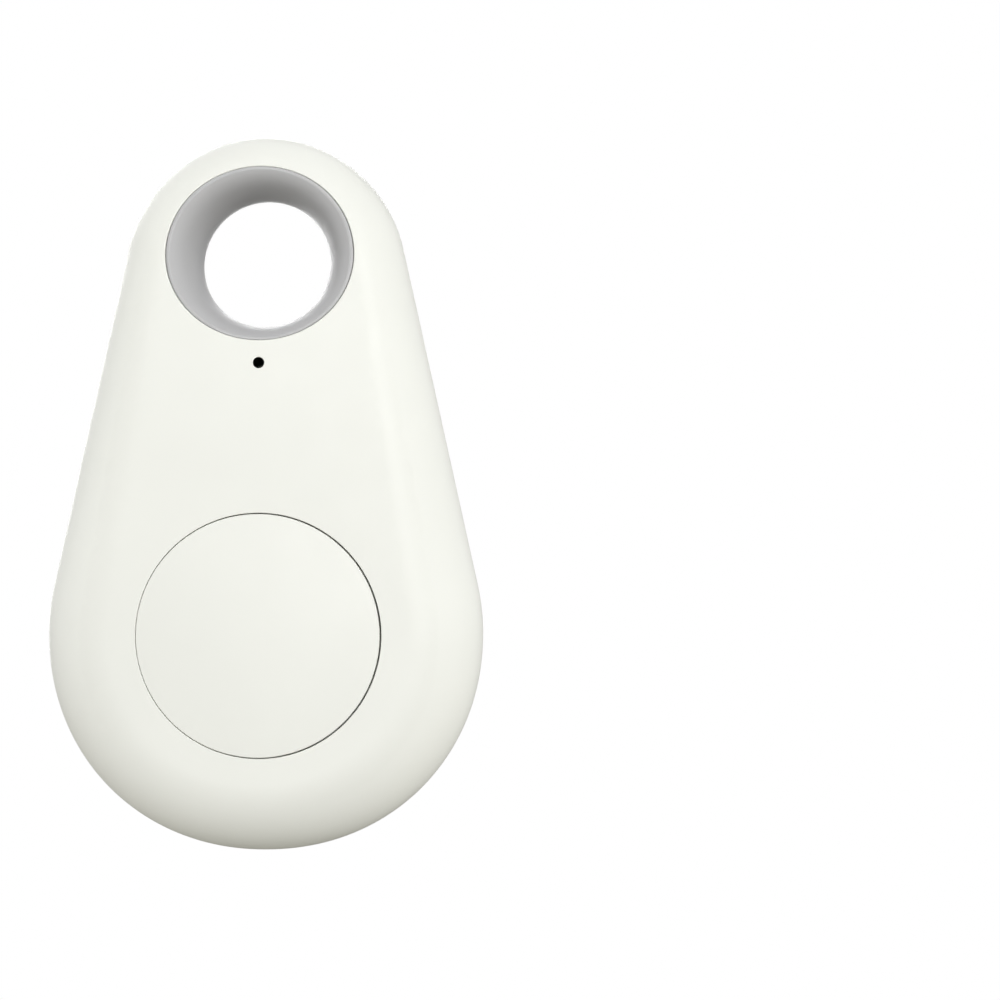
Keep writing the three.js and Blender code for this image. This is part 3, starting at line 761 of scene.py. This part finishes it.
def front_posts():
    """The posts that the board sits on, and the ring that guides the button."""
    for number, (x, z) in enumerate(POSTS, 1):
        foot = -float(surface(x, z, -1, WALL)) - WALL / 4
        post = [(0, foot), (1.3, foot), (1.3, -1.02), (0.75, -1.02), (0.75, 0.35, 0.15), (0, 0.35)]
        yield turned(f"front_shell_post_{number}", rounded(post, 0.05), case_white, 48, x, z)
    yield washer("front_shell_guide", 9.75, 10.5, -4.54, -2.6, case_white)


# ---------------- coin cell and its contacts


def plus_depth(x, z):
    """A plus sign pressed into the middle of the can's back."""
    across, up = np.abs(x), np.abs(z - BASE_Z)
    inside = np.maximum(np.minimum(2.0 - across, 0.4 - up), np.minimum(0.4 - across, 2.0 - up))
    return 0.07 * smooth(inside / 0.16 + 0.5)


def cell_can():
    """The can: a flat back with a rounded edge, and a lip crimped in over the gasket at the front."""
    solid = Solid()
    profile = rounded([
        (0, 3.85), (9.75, 3.85, 0.2), (9.75, 1.46), (9.22, 1.36), (9.22, 1.12), (9.8, 1.18, 0.15),
        (10, 1.45, 0.2), (10, 4.1, 0.35), (9.6, 4.1),
    ], 0.04)
    loops = solid.circles(profile[1:], 180)
    solid.skin(loops)
    solid.cap(loops[0], (0, profile[0][1], BASE_Z))
    coarse, fine = (grid(-r, r, BASE_Z - r, BASE_Z + r, step) for r, step in ((10, 0.9), (2.4, 0.08)))
    free = within(np.vstack([coarse, fine]), 9.45)
    solid.patch(loops[-1], [], free, lifted(lambda x, z: 4.1 - plus_depth(x, z), 1))
    return solid.build("cell_can_skin", steel)


def cell_pieces():
    """The cell's pieces. All but the can are plain profiles turned about its middle."""
    cap = rounded([
        (0, 0.9), (8.4, 0.9, 0.2), (8.7, 1.1, 0.1), (8.7, 1.7, 0.1), (9.35, 1.7), (9.35, 1.95),
        (8.45, 1.95, 0.1), (8.45, 1.15, 0.15), (0, 1.15),
    ], 0.05)
    gasket = rounded([
        (8.95, 1.05), (9.15, 1.05), (9.15, 1.4), (9.73, 1.5), (9.73, 2.5), (9.43, 2.5), (9.43, 1.65),
        (8.75, 1.65), (8.75, 1.05), (8.95, 1.05),
    ], 0.05)[:-1]
    lithium = rounded([(0, 1.2), (8.3, 1.2), (8.3, 1.85), (0, 1.85)])
    cathode = rounded([(0, 2.1), (9, 2.1), (9, 3.83), (0, 3.83)])
    yield cell_can(), "cell_can", "steel"
    yield turned("cell_cap_skin", cap, steel), "cell_cap", "steel"
    yield turned("cell_gasket_skin", gasket, gasket_brown), "cell_gasket", "gasket"
    yield turned("cell_lithium_skin", lithium, tin, 96), "cell_lithium", "tin"
    yield turned("cell_cathode_skin", cathode, cathode_black, 96), "cell_cathode", "cathode"


def contacts():
    """The strips that the cell presses on, bent from sheet."""
    blank = rectangle(10.05, 3, 5.03, BASE_Z, 0.4)
    slit = rectangle(5.6, 0.6, 6.4, BASE_Z, 0.29)
    rise = [(-6, 0.1), (-2.5, 0.1), (1.5, 0.76), (2.6, 0.76), (4, 0.45)]
    yield bent_sheet("negative_contact_skin", blank, [slit], rise, 0.15, tin), "negative_contact", "tin"
    blank = rectangle(4.4, 4, 2.24, BASE_Z, 0.35)
    window = rectangle(1.1, 2, 3.1, BASE_Z, 0.3)
    angle = [(8, 0.1), (10.16, 0.1), (10.16, 2.4)]
    yield bent_sheet("positive_contact_skin", blank, [window], angle, 0.15, tin), "positive_contact", "tin"


# ---------------- circuit board


POSTS = [(10, -16.3), (-10, -16.3), (5.5, -37), (-5.5, -37)]


def board_outline():
    """The case's outline set in, cut straight across the top and round the lining of the hole."""
    inset, top, hole = 2.2, -5.0, 7.6
    lower = outline(1.0, inset)
    lower = lower[lower[:, 1] < top]
    shoulder = (TOP_RADIUS - inset + (TOP_Z - top) * TAPER) / math.sqrt(1 - TAPER ** 2)
    start = math.asin(top / hole)
    notch = polar(hole, np.linspace(start, -math.pi - start, 40), z=0.0)
    return np.vstack([[(shoulder, top)], notch, [(-shoulder, top)], lower])


def board_routes():
    """Tracks on the board's back, in bundles of parallel lines."""
    pitch = 0.62
    routes = []
    for i in range(6):
        step = pitch * i
        upper, lower = step - 3.4, step - 5.6
        routes.append([(upper, -10.4), (upper, -17.6 - step), (lower, -19.8 - step), (lower, -24.2)])
        upper, lower = -29 - step, -31.2 - step
        routes.append([(step - 6.6, lower), (2.2, lower), (4.4, upper), (6.8 - step / 2, upper)])
    for i in range(4):
        step = pitch * i
        routes.append([(1.6 + step, -12.2), (1.6 + step, -19.4 + step), (4.6 + step, -22.4 + step)])
    return routes


def rings(name, centres, inner, outer, low, high, material):
    """Small flat rings in one mesh."""
    solid = Solid()
    section = [(inner, low), (outer, low), (outer - 0.02, high), (inner + 0.02, high)]
    for x, z in centres:
        loops = solid.circles(section, 20, x, z)
        solid.skin([*loops, loops[0]])
    return solid.build(name, material)


def board_pieces():
    """The board, with its tracks, lands, plated holes and printed marks on the back."""
    front, back, ink = -1.0, 0.0, 0.02
    foot = back - 0.01  # sunk a little, so that no face lies in the board's own
    holes = [circle(0.85, 32, x, z) for x, z in POSTS]
    yield plate("circuit_board_skin", board_outline(), front, back, board_green, holes), "board"
    routes = board_routes()
    yield ribbons("board_tracks", routes, 0.26, foot, back + ink, track_green), "board"
    ends = [point for route in routes for point in (route[0], route[-1])]
    yield rings("board_plated_holes", ends, 0.13, 0.3, foot, back + 1.4 * ink, tin), "tin"
    lands = [((-6.4, -28.7), (-2.4, -25.3)), ((7.6, -29.2), (9.8, -24.8))]
    lands += [((-1.6 + 1.3 * i, -37.6), (-0.8 + 1.3 * i, -36.8)) for i in range(4)]
    boxes = [((x0, foot, z0), (x1, back + ink, z1)) for (x0, z0), (x1, z1) in lands]
    yield blocks("board_lands", boxes, tin, 0.008), "tin"
    marks = [
        [(6.2, -22.6), (7.4, -22.6)], [(6.8, -22.0), (6.8, -23.2)], [(-7.9, -25.4), (-7.9, -24.2)],
        polar(9.7, np.radians(np.linspace(0, 359, 90))),
    ]
    yield ribbons("board_print", marks, 0.16, foot, back + 1.2 * ink, print_white), "case"


def span(node):
    """A CAD node's lowest and highest corners and the middle of its x and z, in millimetres."""
    low, high = (np.array(corner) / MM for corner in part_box(node))
    return low, high, (low[0] + high[0]) / 2, (low[2] + high[2]) / 2


def chip_part(node, material, slot_name):
    """A ceramic body between two soldered ends."""
    low, high, _, _ = span(node)
    along = 2 if high[2] - low[2] > high[0] - low[0] else 0
    end = 0.24 * (high - low)[along]
    tuck = 0.03 * (high - low)[2 - along]
    core_low, core_high = low.copy(), high.copy()
    core_low[along] += end * 0.8
    core_high[along] -= end * 0.8
    core_low[2 - along] += tuck
    core_high[2 - along] -= tuck
    core_low[1] += tuck
    first, second = high.copy(), low.copy()
    first[along] = low[along] + end
    second[along] = high[along] - end
    yield blocks(f"{node}_core", [(core_low, core_high)], material, 0.03), slot_name
    yield blocks(f"{node}_ends", [(low, first), (second, high)], tin, 0.05), "tin"


def winding(name, inner, outer, front, back, turns, material, **how):
    """A coil of wire, whose outside shows its turns."""
    t = np.linspace(0, 1, turns * 6 + 1)
    ridges = outer - 0.05 + 0.05 * np.abs(np.sin(math.pi * turns * t))
    profile = [(inner, back), (inner, front), *zip(ridges, front + (back - front) * t)]
    return turned(name, profile, material, sharp=60, **how)


def radio_chip():
    low, high, x, z = span("radio_chip")
    side = high[0] - low[0]
    rim = rectangle(side, side, x, z, 0.12)
    step = low[1] + 0.12
    dimple = circle(0.3, 24, low[0] + 0.8, high[2] - 0.8)
    yield plate("radio_chip_base", rim, step, high[1], chip_black, bevel=0.02), "chip"
    yield plate("radio_chip_top", rim, low[1], step, chip_black, [dimple], bevel=0.03), "chip"
    pitch, half = 0.5, 0.12  # of the feet, and of a foot's width
    feet = []
    for i in range(8):
        shift = (i - 3.5) * pitch
        for edge in (-side / 2, side / 2):
            for dx, dz in ((edge, shift), (shift, edge)):
                near = (x + dx - half, high[1] - half, z + dz - half)
                feet.append((near, (x + dx + half, high[1], z + dz + half)))
    yield blocks("radio_chip_feet", feet, tin, 0.02), "tin"


def inductor():
    low, high, x, z = span("inductor")
    square = rectangle(high[0] - low[0], high[2] - low[2], x, z, 0.45)
    yield plate("inductor_foot", square, high[1] - 0.38, high[1], ferrite_grey), "ferrite"
    yield plate("inductor_top", square, low[1], low[1] + 0.48, ferrite_grey, bevel=0.08), "ferrite"
    how = {"count": 48, "x": x, "z": z}
    yield winding("inductor_winding", 0.6, 1.38, low[1] + 0.45, high[1] - 0.36, 5, copper, **how), "copper"


def crystal():
    low, high, x, z = span("crystal")
    width, height = high[0] - low[0], high[2] - low[2]
    base = rectangle(width, height, x, z, 0.2)
    yield plate("crystal_base", base, high[1] - 0.25, high[1], ceramic_tan), "ceramic"
    lid = rectangle(width - 0.2, height - 0.2, x, z, 0.35)
    yield plate("crystal_lid", lid, low[1], high[1] - 0.22, tin, bevel=0.09, segments=3), "tin"


def status_led():
    low, high, _, _ = span("status_led")
    middle = (low[1] + high[1]) / 2
    yield blocks("status_led_base", [((low[0], middle, low[2]), tuple(high))], print_white, 0.03), "case"
    inner = [(low[0] + 0.12, low[1], low[2] + 0.04), (high[0] - 0.12, middle + 0.02, high[2] - 0.04)]
    yield blocks("status_led_lens", [inner], lens_clear, 0.09), "lens"


def switch_pieces():
    case = rectangle(4.6, 4.6, 0, BASE_Z, 0.35)
    cup = circle(1.7, 48)
    bore = circle(1.15, 48)
    dome = [(1.6 * t, -1.78 + 0.18 * t * t) for t in np.linspace(0, 1, 9)]
    dome += [(r, y + 0.07) for r, y in dome[::-1]]
    yield plate("switch_base_floor", case, -1.5, -1.02, black_plastic), "switch_base", "black"
    yield plate("switch_base_wall", case, -2.3, -1.5, black_plastic, [cup]), "switch_base", "black"
    yield plate("switch_frame_skin", case, -2.5, -2.32, steel, [bore], 0.04), "switch_frame", "steel"
    yield turned("switch_dome_skin", dome, steel, 48, sharp=60), "switch_dome", "steel"


def switch_plunger():
    profile = [(0, -3), (1.05, -3, 0.15), (1.05, -2.27), (1.5, -2.27), (1.5, -2.05), (0, -2.05)]
    return turned("switch_plunger_skin", rounded(profile, 0.05), black_plastic, 48)


SOUNDER_Z = -12.6


def sounder_case():
    """A square box, bored out from the board's side and with a round mouth at the front."""
    solid = Solid()
    width, corner = 7.5, 0.7
    front, shelf, foot = -3.55, -3.15, -1.02
    steps = [
        (width, foot), (width, front + 0.15), (7.46, front + 0.06), (7.38, front + 0.015), (7.24, front)]
    walls = [
        solid.flat_loop(rectangle(side, side, 0, SOUNDER_Z, corner - (width - side) / 2), y)
        for side, y in steps]
    mouth = [
        (1.0, front), (0.93, front + 0.03), (0.9, front + 0.1), (0.9, shelf), (3.3, shelf), (3.3, foot)]
    bores = solid.circles(mouth, 64, 0, SOUNDER_Z)
    solid.skin(walls)
    solid.skin(bores)
    solid.patch(walls[-1], [bores[0]])
    solid.patch(walls[0], [bores[-1]])
    return solid.build("sounder_case_skin", black_plastic)


def sounder_pieces():
    how = {"z": SOUNDER_Z, "count": 96}
    yoke = rounded([(0, -2.3), (0.6, -2.3), (0.6, -1.35), (3.1, -1.35), (3.1, -1.1), (0, -1.1)], 0.05)
    disc = rounded([(0, -2.85), (1.2, -2.85), (1.2, -2.65), (3.15, -2.65), (3.15, -2.57), (0, -2.57)], 0.03)
    yield sounder_case(), "sounder_case", "black"
    yield turned("sounder_yoke_skin", yoke, steel, **how), "sounder_yoke", "steel"
    yield turned("sounder_diaphragm_skin", disc, brass, **how), "sounder_diaphragm", "brass"
    magnet = washer("sounder_magnet_skin", 2.1, 3.1, -2.35, -1.4, ferrite_grey, **how)
    yield magnet, "sounder_magnet", "ferrite"
    yield winding("sounder_coil_skin", 0.7, 1.7, -2.2, -1.4, 9, copper, **how), "sounder_coil", "copper"


def antenna():
    """A meander of copper round the board's lower edge."""
    inner, outer, teeth, pitch = 11.6, 13.0, 8, 4.2
    route = []
    for i in range(teeth + 1):
        angle = math.radians(270 + (i - teeth / 2) * pitch)
        for reach in (outer, inner) if i % 2 else (inner, outer):
            route.append((reach * math.cos(angle), BASE_Z + reach * math.sin(angle)))
    return ribbons("antenna_trace_skin", [route], 0.4, -1.07, -1.02, copper)


# ---------------- materials


def new_node(nodes, kind, inputs):
    """A new shader node, with values for its inputs."""
    node = nodes.new("ShaderNode" + kind)
    for key, value in inputs.items():
        node.inputs[key].default_value = value
    return node


class Surface:
    """A Principled material whose colour, roughness and relief vary by noise in the object's own space."""

    def __init__(self, name, color, roughness, metallic=0.0):
        self.material = bpy.data.materials.new(name)
        self.material.use_nodes = True
        self.nodes = self.material.node_tree.nodes
        self.links = self.material.node_tree.links
        self.shader = self.nodes["Principled BSDF"]
        self.shader.inputs["Base Color"].default_value = (*color, 1)
        self.shader.inputs["Roughness"].default_value = roughness
        self.shader.inputs["Metallic"].default_value = metallic
        self.place = self.nodes.new("ShaderNodeTexCoord").outputs["Object"]
        self.height = None

    def noise(self, size, detail, stretch=None):
        """Noise whose features measure about size millimetres."""
        node = new_node(self.nodes, "TexNoise", {"Scale": 1 / (size * MM), "Detail": detail})
        vector = self.place
        if stretch:
            mapping = new_node(self.nodes, "Mapping", {"Scale": stretch})
            self.links.new(vector, mapping.inputs["Vector"])
            vector = mapping.outputs["Vector"]
        self.links.new(vector, node.inputs["Vector"])
        return node.outputs["Fac"]

    def bands(self, axis, size):
        """Soft bands across an axis, size millimetres apart."""
        node = new_node(self.nodes, "TexWave", {"Scale": math.pi / 10 / (size * MM), "Distortion": 0.4})
        node.bands_direction = axis
        self.links.new(self.place, node.inputs["Vector"])
        return node.outputs["Fac"]

    def spread(self, value, low, high):
        """The middle of a noise's range, spread out between two values."""
        limits = {"From Min": 0.3, "From Max": 0.7, "To Min": low, "To Max": high}
        node = new_node(self.nodes, "MapRange", limits)
        self.links.new(value, node.inputs["Value"])
        return node.outputs["Result"]

    def vary_color(self, value, other, amount=1.0):
        """Blends towards another colour where the value is high."""
        node = self.nodes.new("ShaderNodeMix")
        node.data_type = "RGBA"
        current = self.shader.inputs["Base Color"]
        if current.is_linked:
            self.links.new(current.links[0].from_socket, node.inputs["A"])
        else:
            node.inputs["A"].default_value = current.default_value[:]
        node.inputs["B"].default_value = (*other, 1)
        self.links.new(self.spread(value, 0, amount), node.inputs["Factor"])
        self.links.new(node.outputs["Result"], current)

    def vary_roughness(self, value, low, high):
        self.links.new(self.spread(value, low, high), self.shader.inputs["Roughness"])

    def relief(self, value, depth, strength=1.0):
        """Bump of a depth in millimetres, on top of any made before."""
        node = new_node(self.nodes, "Bump", {"Distance": depth * MM, "Strength": strength})
        self.links.new(value, node.inputs["Height"])
        if self.height:
            self.links.new(self.height, node.inputs["Normal"])
        self.height = node.outputs["Normal"]
        self.links.new(self.height, self.shader.inputs["Normal"])


def toned(color, share):
    return tuple(c * share for c in color)


MOULD_GRAIN = 0.0016  # how deep it is, in millimetres


def moulded(name, color, roughness, grain=0.12, tone=0.97):
    """Moulded plastic: a fine even texture, with soft changes of tone and polish."""
    s = Surface(name, color, roughness)
    s.vary_color(s.noise(9.0, 2), toned(color, tone))
    s.vary_color(s.noise(1.3, 4), toned(color, tone + 0.015), 0.5)
    s.vary_roughness(s.noise(2.2, 4), roughness - 0.05, roughness + 0.07)
    s.relief(s.noise(grain, 2), MOULD_GRAIN)
    s.relief(s.noise(2.6, 1), 1.5 * MOULD_GRAIN)
    return s.material


def metal(name, color, roughness, line=(1, 1, 1)):
    """Metal with fine brushed lines or an even grain."""
    s = Surface(name, color, roughness, metallic=1.0)
    s.vary_color(s.noise(2.4, 2), toned(color, 0.94))
    lines = s.noise(0.12, 3, line)
    s.vary_roughness(lines, roughness - 0.05, roughness + 0.07)
    s.relief(lines, 0.0008)
    return s.material


def laminate(name, color, roughness):
    """Solder resist, through which the weave of the glass cloth just shows."""
    s = Surface(name, color, roughness)
    s.vary_color(s.noise(6.0, 2), toned(color, 0.8))
    for axis in ("X", "Z"):
        s.relief(s.bands(axis, 0.42), 0.0025, 0.6)
    s.relief(s.noise(0.9, 3), 0.004)
    s.vary_roughness(s.noise(0.5, 3), roughness - 0.04, roughness + 0.08)
    return s.material


WHITE = (0.86, 0.868, 0.815)
case_white = moulded("case_white", WHITE, 0.42)
button_white = moulded("button_white", WHITE, 0.40)
liner_grey = moulded("liner_grey", (0.50, 0.50, 0.505), 0.5, grain=0.09)
seal_grey = moulded("seal_grey", (0.25, 0.26, 0.26), 0.62, grain=0.2)
board_green = laminate("board_green", (0.010, 0.105, 0.04), 0.33)
track_green = laminate("track_green", (0.022, 0.20, 0.07), 0.3)
print_white = moulded("print_white", (0.78, 0.78, 0.74), 0.6, grain=0.05)
black_plastic = moulded("black_plastic", (0.014, 0.014, 0.015), 0.5, grain=0.08, tone=1.6)
chip_black = moulded("chip_black", (0.012, 0.012, 0.014), 0.45, grain=0.05, tone=1.8)
ceramic_tan = moulded("ceramic_tan", (0.45, 0.31, 0.17), 0.55, grain=0.05, tone=0.8)
ferrite_grey = moulded("ferrite_grey", (0.04, 0.04, 0.045), 0.6, grain=0.06, tone=1.5)
lens_clear = moulded("lens_clear", (0.85, 0.82, 0.62), 0.18, grain=0.2, tone=0.9)
gasket_brown = moulded("gasket_brown", (0.18, 0.12, 0.07), 0.55, grain=0.1, tone=0.8)
cathode_black = moulded("cathode_black", (0.012, 0.012, 0.012), 0.85, grain=0.05, tone=1.6)
steel = metal("steel", (0.60, 0.60, 0.59), 0.27, line=(1, 1, 12))
tin = metal("tin", (0.66, 0.65, 0.61), 0.34)
brass = metal("brass", (0.60, 0.40, 0.12), 0.28)
copper = metal("copper", (0.62, 0.28, 0.11), 0.32)

# ---------------- pieces


def stand(piece, body, node, slot):
    """Puts a piece in the place of a CAD node."""
    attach(piece, body)
    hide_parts(node)


stand(front_shell(), "case", "front_shell", "case")
stand(rear_shell(), "case", "rear_shell", "case")
stand(battery_bay(), "case", "rear_shell", "case")
stand(parting_tongue(), "case", "rear_shell", "case")
stand(ring_liner(), "case", "ring_liner", "liner")
stand(button_cap(), "button", "button_cap", "case")
stand(battery_cover(), "cover", "battery_cover", "case")
seal = washer("cover_seal_skin", 10.8, 11.3, 4.22, 4.62, seal_grey, 0.14)
stand(seal, "cover_ring", "cover_seal", "seal")
stand(switch_plunger(), "plunger", "switch_plunger", "black")
stand(antenna(), "case", "antenna_trace", "copper")
for piece in front_posts():
    stand(piece, "case", "front_shell", "case")
for number, middle in enumerate(LUGS, 1):
    stand(cover_lug(f"cover_lug_{number}", middle), "cover", "battery_cover", "case")
for piece, node, slot in cell_pieces():
    stand(piece, "coin_cell", node, slot)
for pieces in (contacts(), switch_pieces(), sounder_pieces()):
    for piece, node, slot in pieces:
        stand(piece, "case", node, slot)

ON_BOARD = {
    "circuit_board": board_pieces(),
    "radio_chip": radio_chip(),
    "inductor": inductor(),
    "crystal": crystal(),
    "status_led": status_led(),
}
for number in range(1, 5):
    ON_BOARD[f"capacitor_{number}"] = chip_part(f"capacitor_{number}", ceramic_tan, "ceramic")
    ON_BOARD[f"resistor_{number}"] = chip_part(f"resistor_{number}", chip_black, "chip")
for node, pieces in ON_BOARD.items():
    for piece, slot in pieces:
        stand(piece, "case", node, slot)

# ---------------- stage, light and camera

CAMERA_AT = (15.25, -131.0, -20.95)
FRAME_WIDTH = 73.4  # millimetres across the picture at the tag's middle
SHIFT = (0.025, 0.05)
FLOOR_Z = -95.0


def backdrop():
    """A white sweep: a floor that curves up into a wall all round and closes overhead."""
    solid = Solid()
    profile = [
        (1, 0), (900, 0), (1100, 40), (1230, 140), (1300, 330), (1310, 900), (1180, 1600), (800, 2200),
        (1, 2500),
    ]
    angle = full_turn(96)
    loops = []
    for reach, rise in profile:
        height = np.full(len(angle), FLOOR_Z + rise)
        loops.append(solid.loop(np.column_stack([reach * np.cos(angle), reach * np.sin(angle), height])))
    solid.skin(loops)
    solid.cap(loops[0], (0, 0, FLOOR_Z))
    material = bpy.data.materials.new("backdrop_white")
    material.use_nodes = True
    nodes, links = material.node_tree.nodes, material.node_tree.links
    nodes.clear()
    seen = nodes.new("ShaderNodeLightPath").outputs["Is Camera Ray"]
    paper = new_node(nodes, "BsdfDiffuse", {"Color": (0.8, 0.8, 0.8, 1)})
    glow = nodes.new("ShaderNodeEmission")
    mix = nodes.new("ShaderNodeMixShader")
    out = nodes.new("ShaderNodeOutputMaterial")
    for i, source in enumerate((seen, paper.outputs[0], glow.outputs[0])):
        links.new(source, mix.inputs[i])
    links.new(mix.outputs[0], out.inputs["Surface"])
    piece = solid.build("backdrop", material)
    piece.visible_diffuse = False
    piece.visible_glossy = False
    piece.visible_shadow = False


LAMPS_FACE = (0, 0, -20)


def softbox(name, at, size, power):
    """A square lamp that faces the tag."""
    data = bpy.data.lights.new(name, "AREA")
    data.shape = "SQUARE"
    data.size = size * MM
    data.energy = power
    light = placed(name, data, at)
    light.rotation_euler = (Vector(LAMPS_FACE) - Vector(at)).to_track_quat("-Z", "Y").to_euler()


# How bright the studio is towards the right, the left, above and below. Each falls off with the cosine.
SKY = {(1, 0, 0): 0.936, (-1, 0, 0): 0.963, (0, 0, 1): 0.065, (0, 0, -1): 0.02}
BOUNCE_TINT = (1.0, 0.972, 0.86)


def sky():
    """Soft light from both sides, which turns warmer towards the floor."""
    world = bpy.data.worlds.new("studio")
    bpy.context.scene.world = world
    world.use_nodes = True
    nodes, links = world.node_tree.nodes, world.node_tree.links
    background = nodes["Background"]
    place = nodes.new("ShaderNodeTexCoord").outputs["Generated"]

    def towards(axis):
        node = new_node(nodes, "VectorMath", {1: axis})
        node.operation = "DOT_PRODUCT"
        links.new(place, node.inputs[0])
        return node.outputs["Value"]

    total = None
    for axis, strength in SKY.items():
        lobe = new_node(nodes, "MapRange", {"To Max": strength})
        links.new(towards(axis), lobe.inputs["Value"])
        if total is None:
            total = lobe.outputs["Result"]
            continue
        add = nodes.new("ShaderNodeMath")
        links.new(total, add.inputs[0])
        links.new(lobe.outputs["Result"], add.inputs[1])
        total = add.outputs["Value"]
    links.new(total, background.inputs["Strength"])

    tint = nodes.new("ShaderNodeMix")
    tint.data_type = "RGBA"
    tint.inputs["A"].default_value = (1, 1, 1, 1)
    tint.inputs["B"].default_value = (*BOUNCE_TINT, 1)
    links.new(towards((0, 0, -1.6)), tint.inputs["Factor"])
    links.new(tint.outputs["Result"], background.inputs["Color"])


backdrop()
sky()
for side, face in ((-1, "front"), (1, "back")):
    softbox(f"{face}_large", (-120 * side, 520 * side, 120), 360, 1.79)
    softbox(f"{face}_high", (0, 260 * side, 480), 300, 0.254)
    softbox(f"{face}_key", (-260 * side, 420 * side, 330), 300, 0.276)
    softbox(f"{face}_fill", (300 * side, 420 * side, 200), 300, 0.086)

camera_data = bpy.data.cameras.new("camera")
camera_data.sensor_width = 36
camera_data.lens = 36 * -CAMERA_AT[1] / FRAME_WIDTH
camera_data.shift_x, camera_data.shift_y = SHIFT
camera_data.clip_start, camera_data.clip_end = 0.01, 20
camera = placed("camera", camera_data, CAMERA_AT)
camera.rotation_euler = (math.pi / 2, 0, 0)
bpy.context.scene.camera = camera
bpy.context.scene.view_settings.view_transform = "Standard"
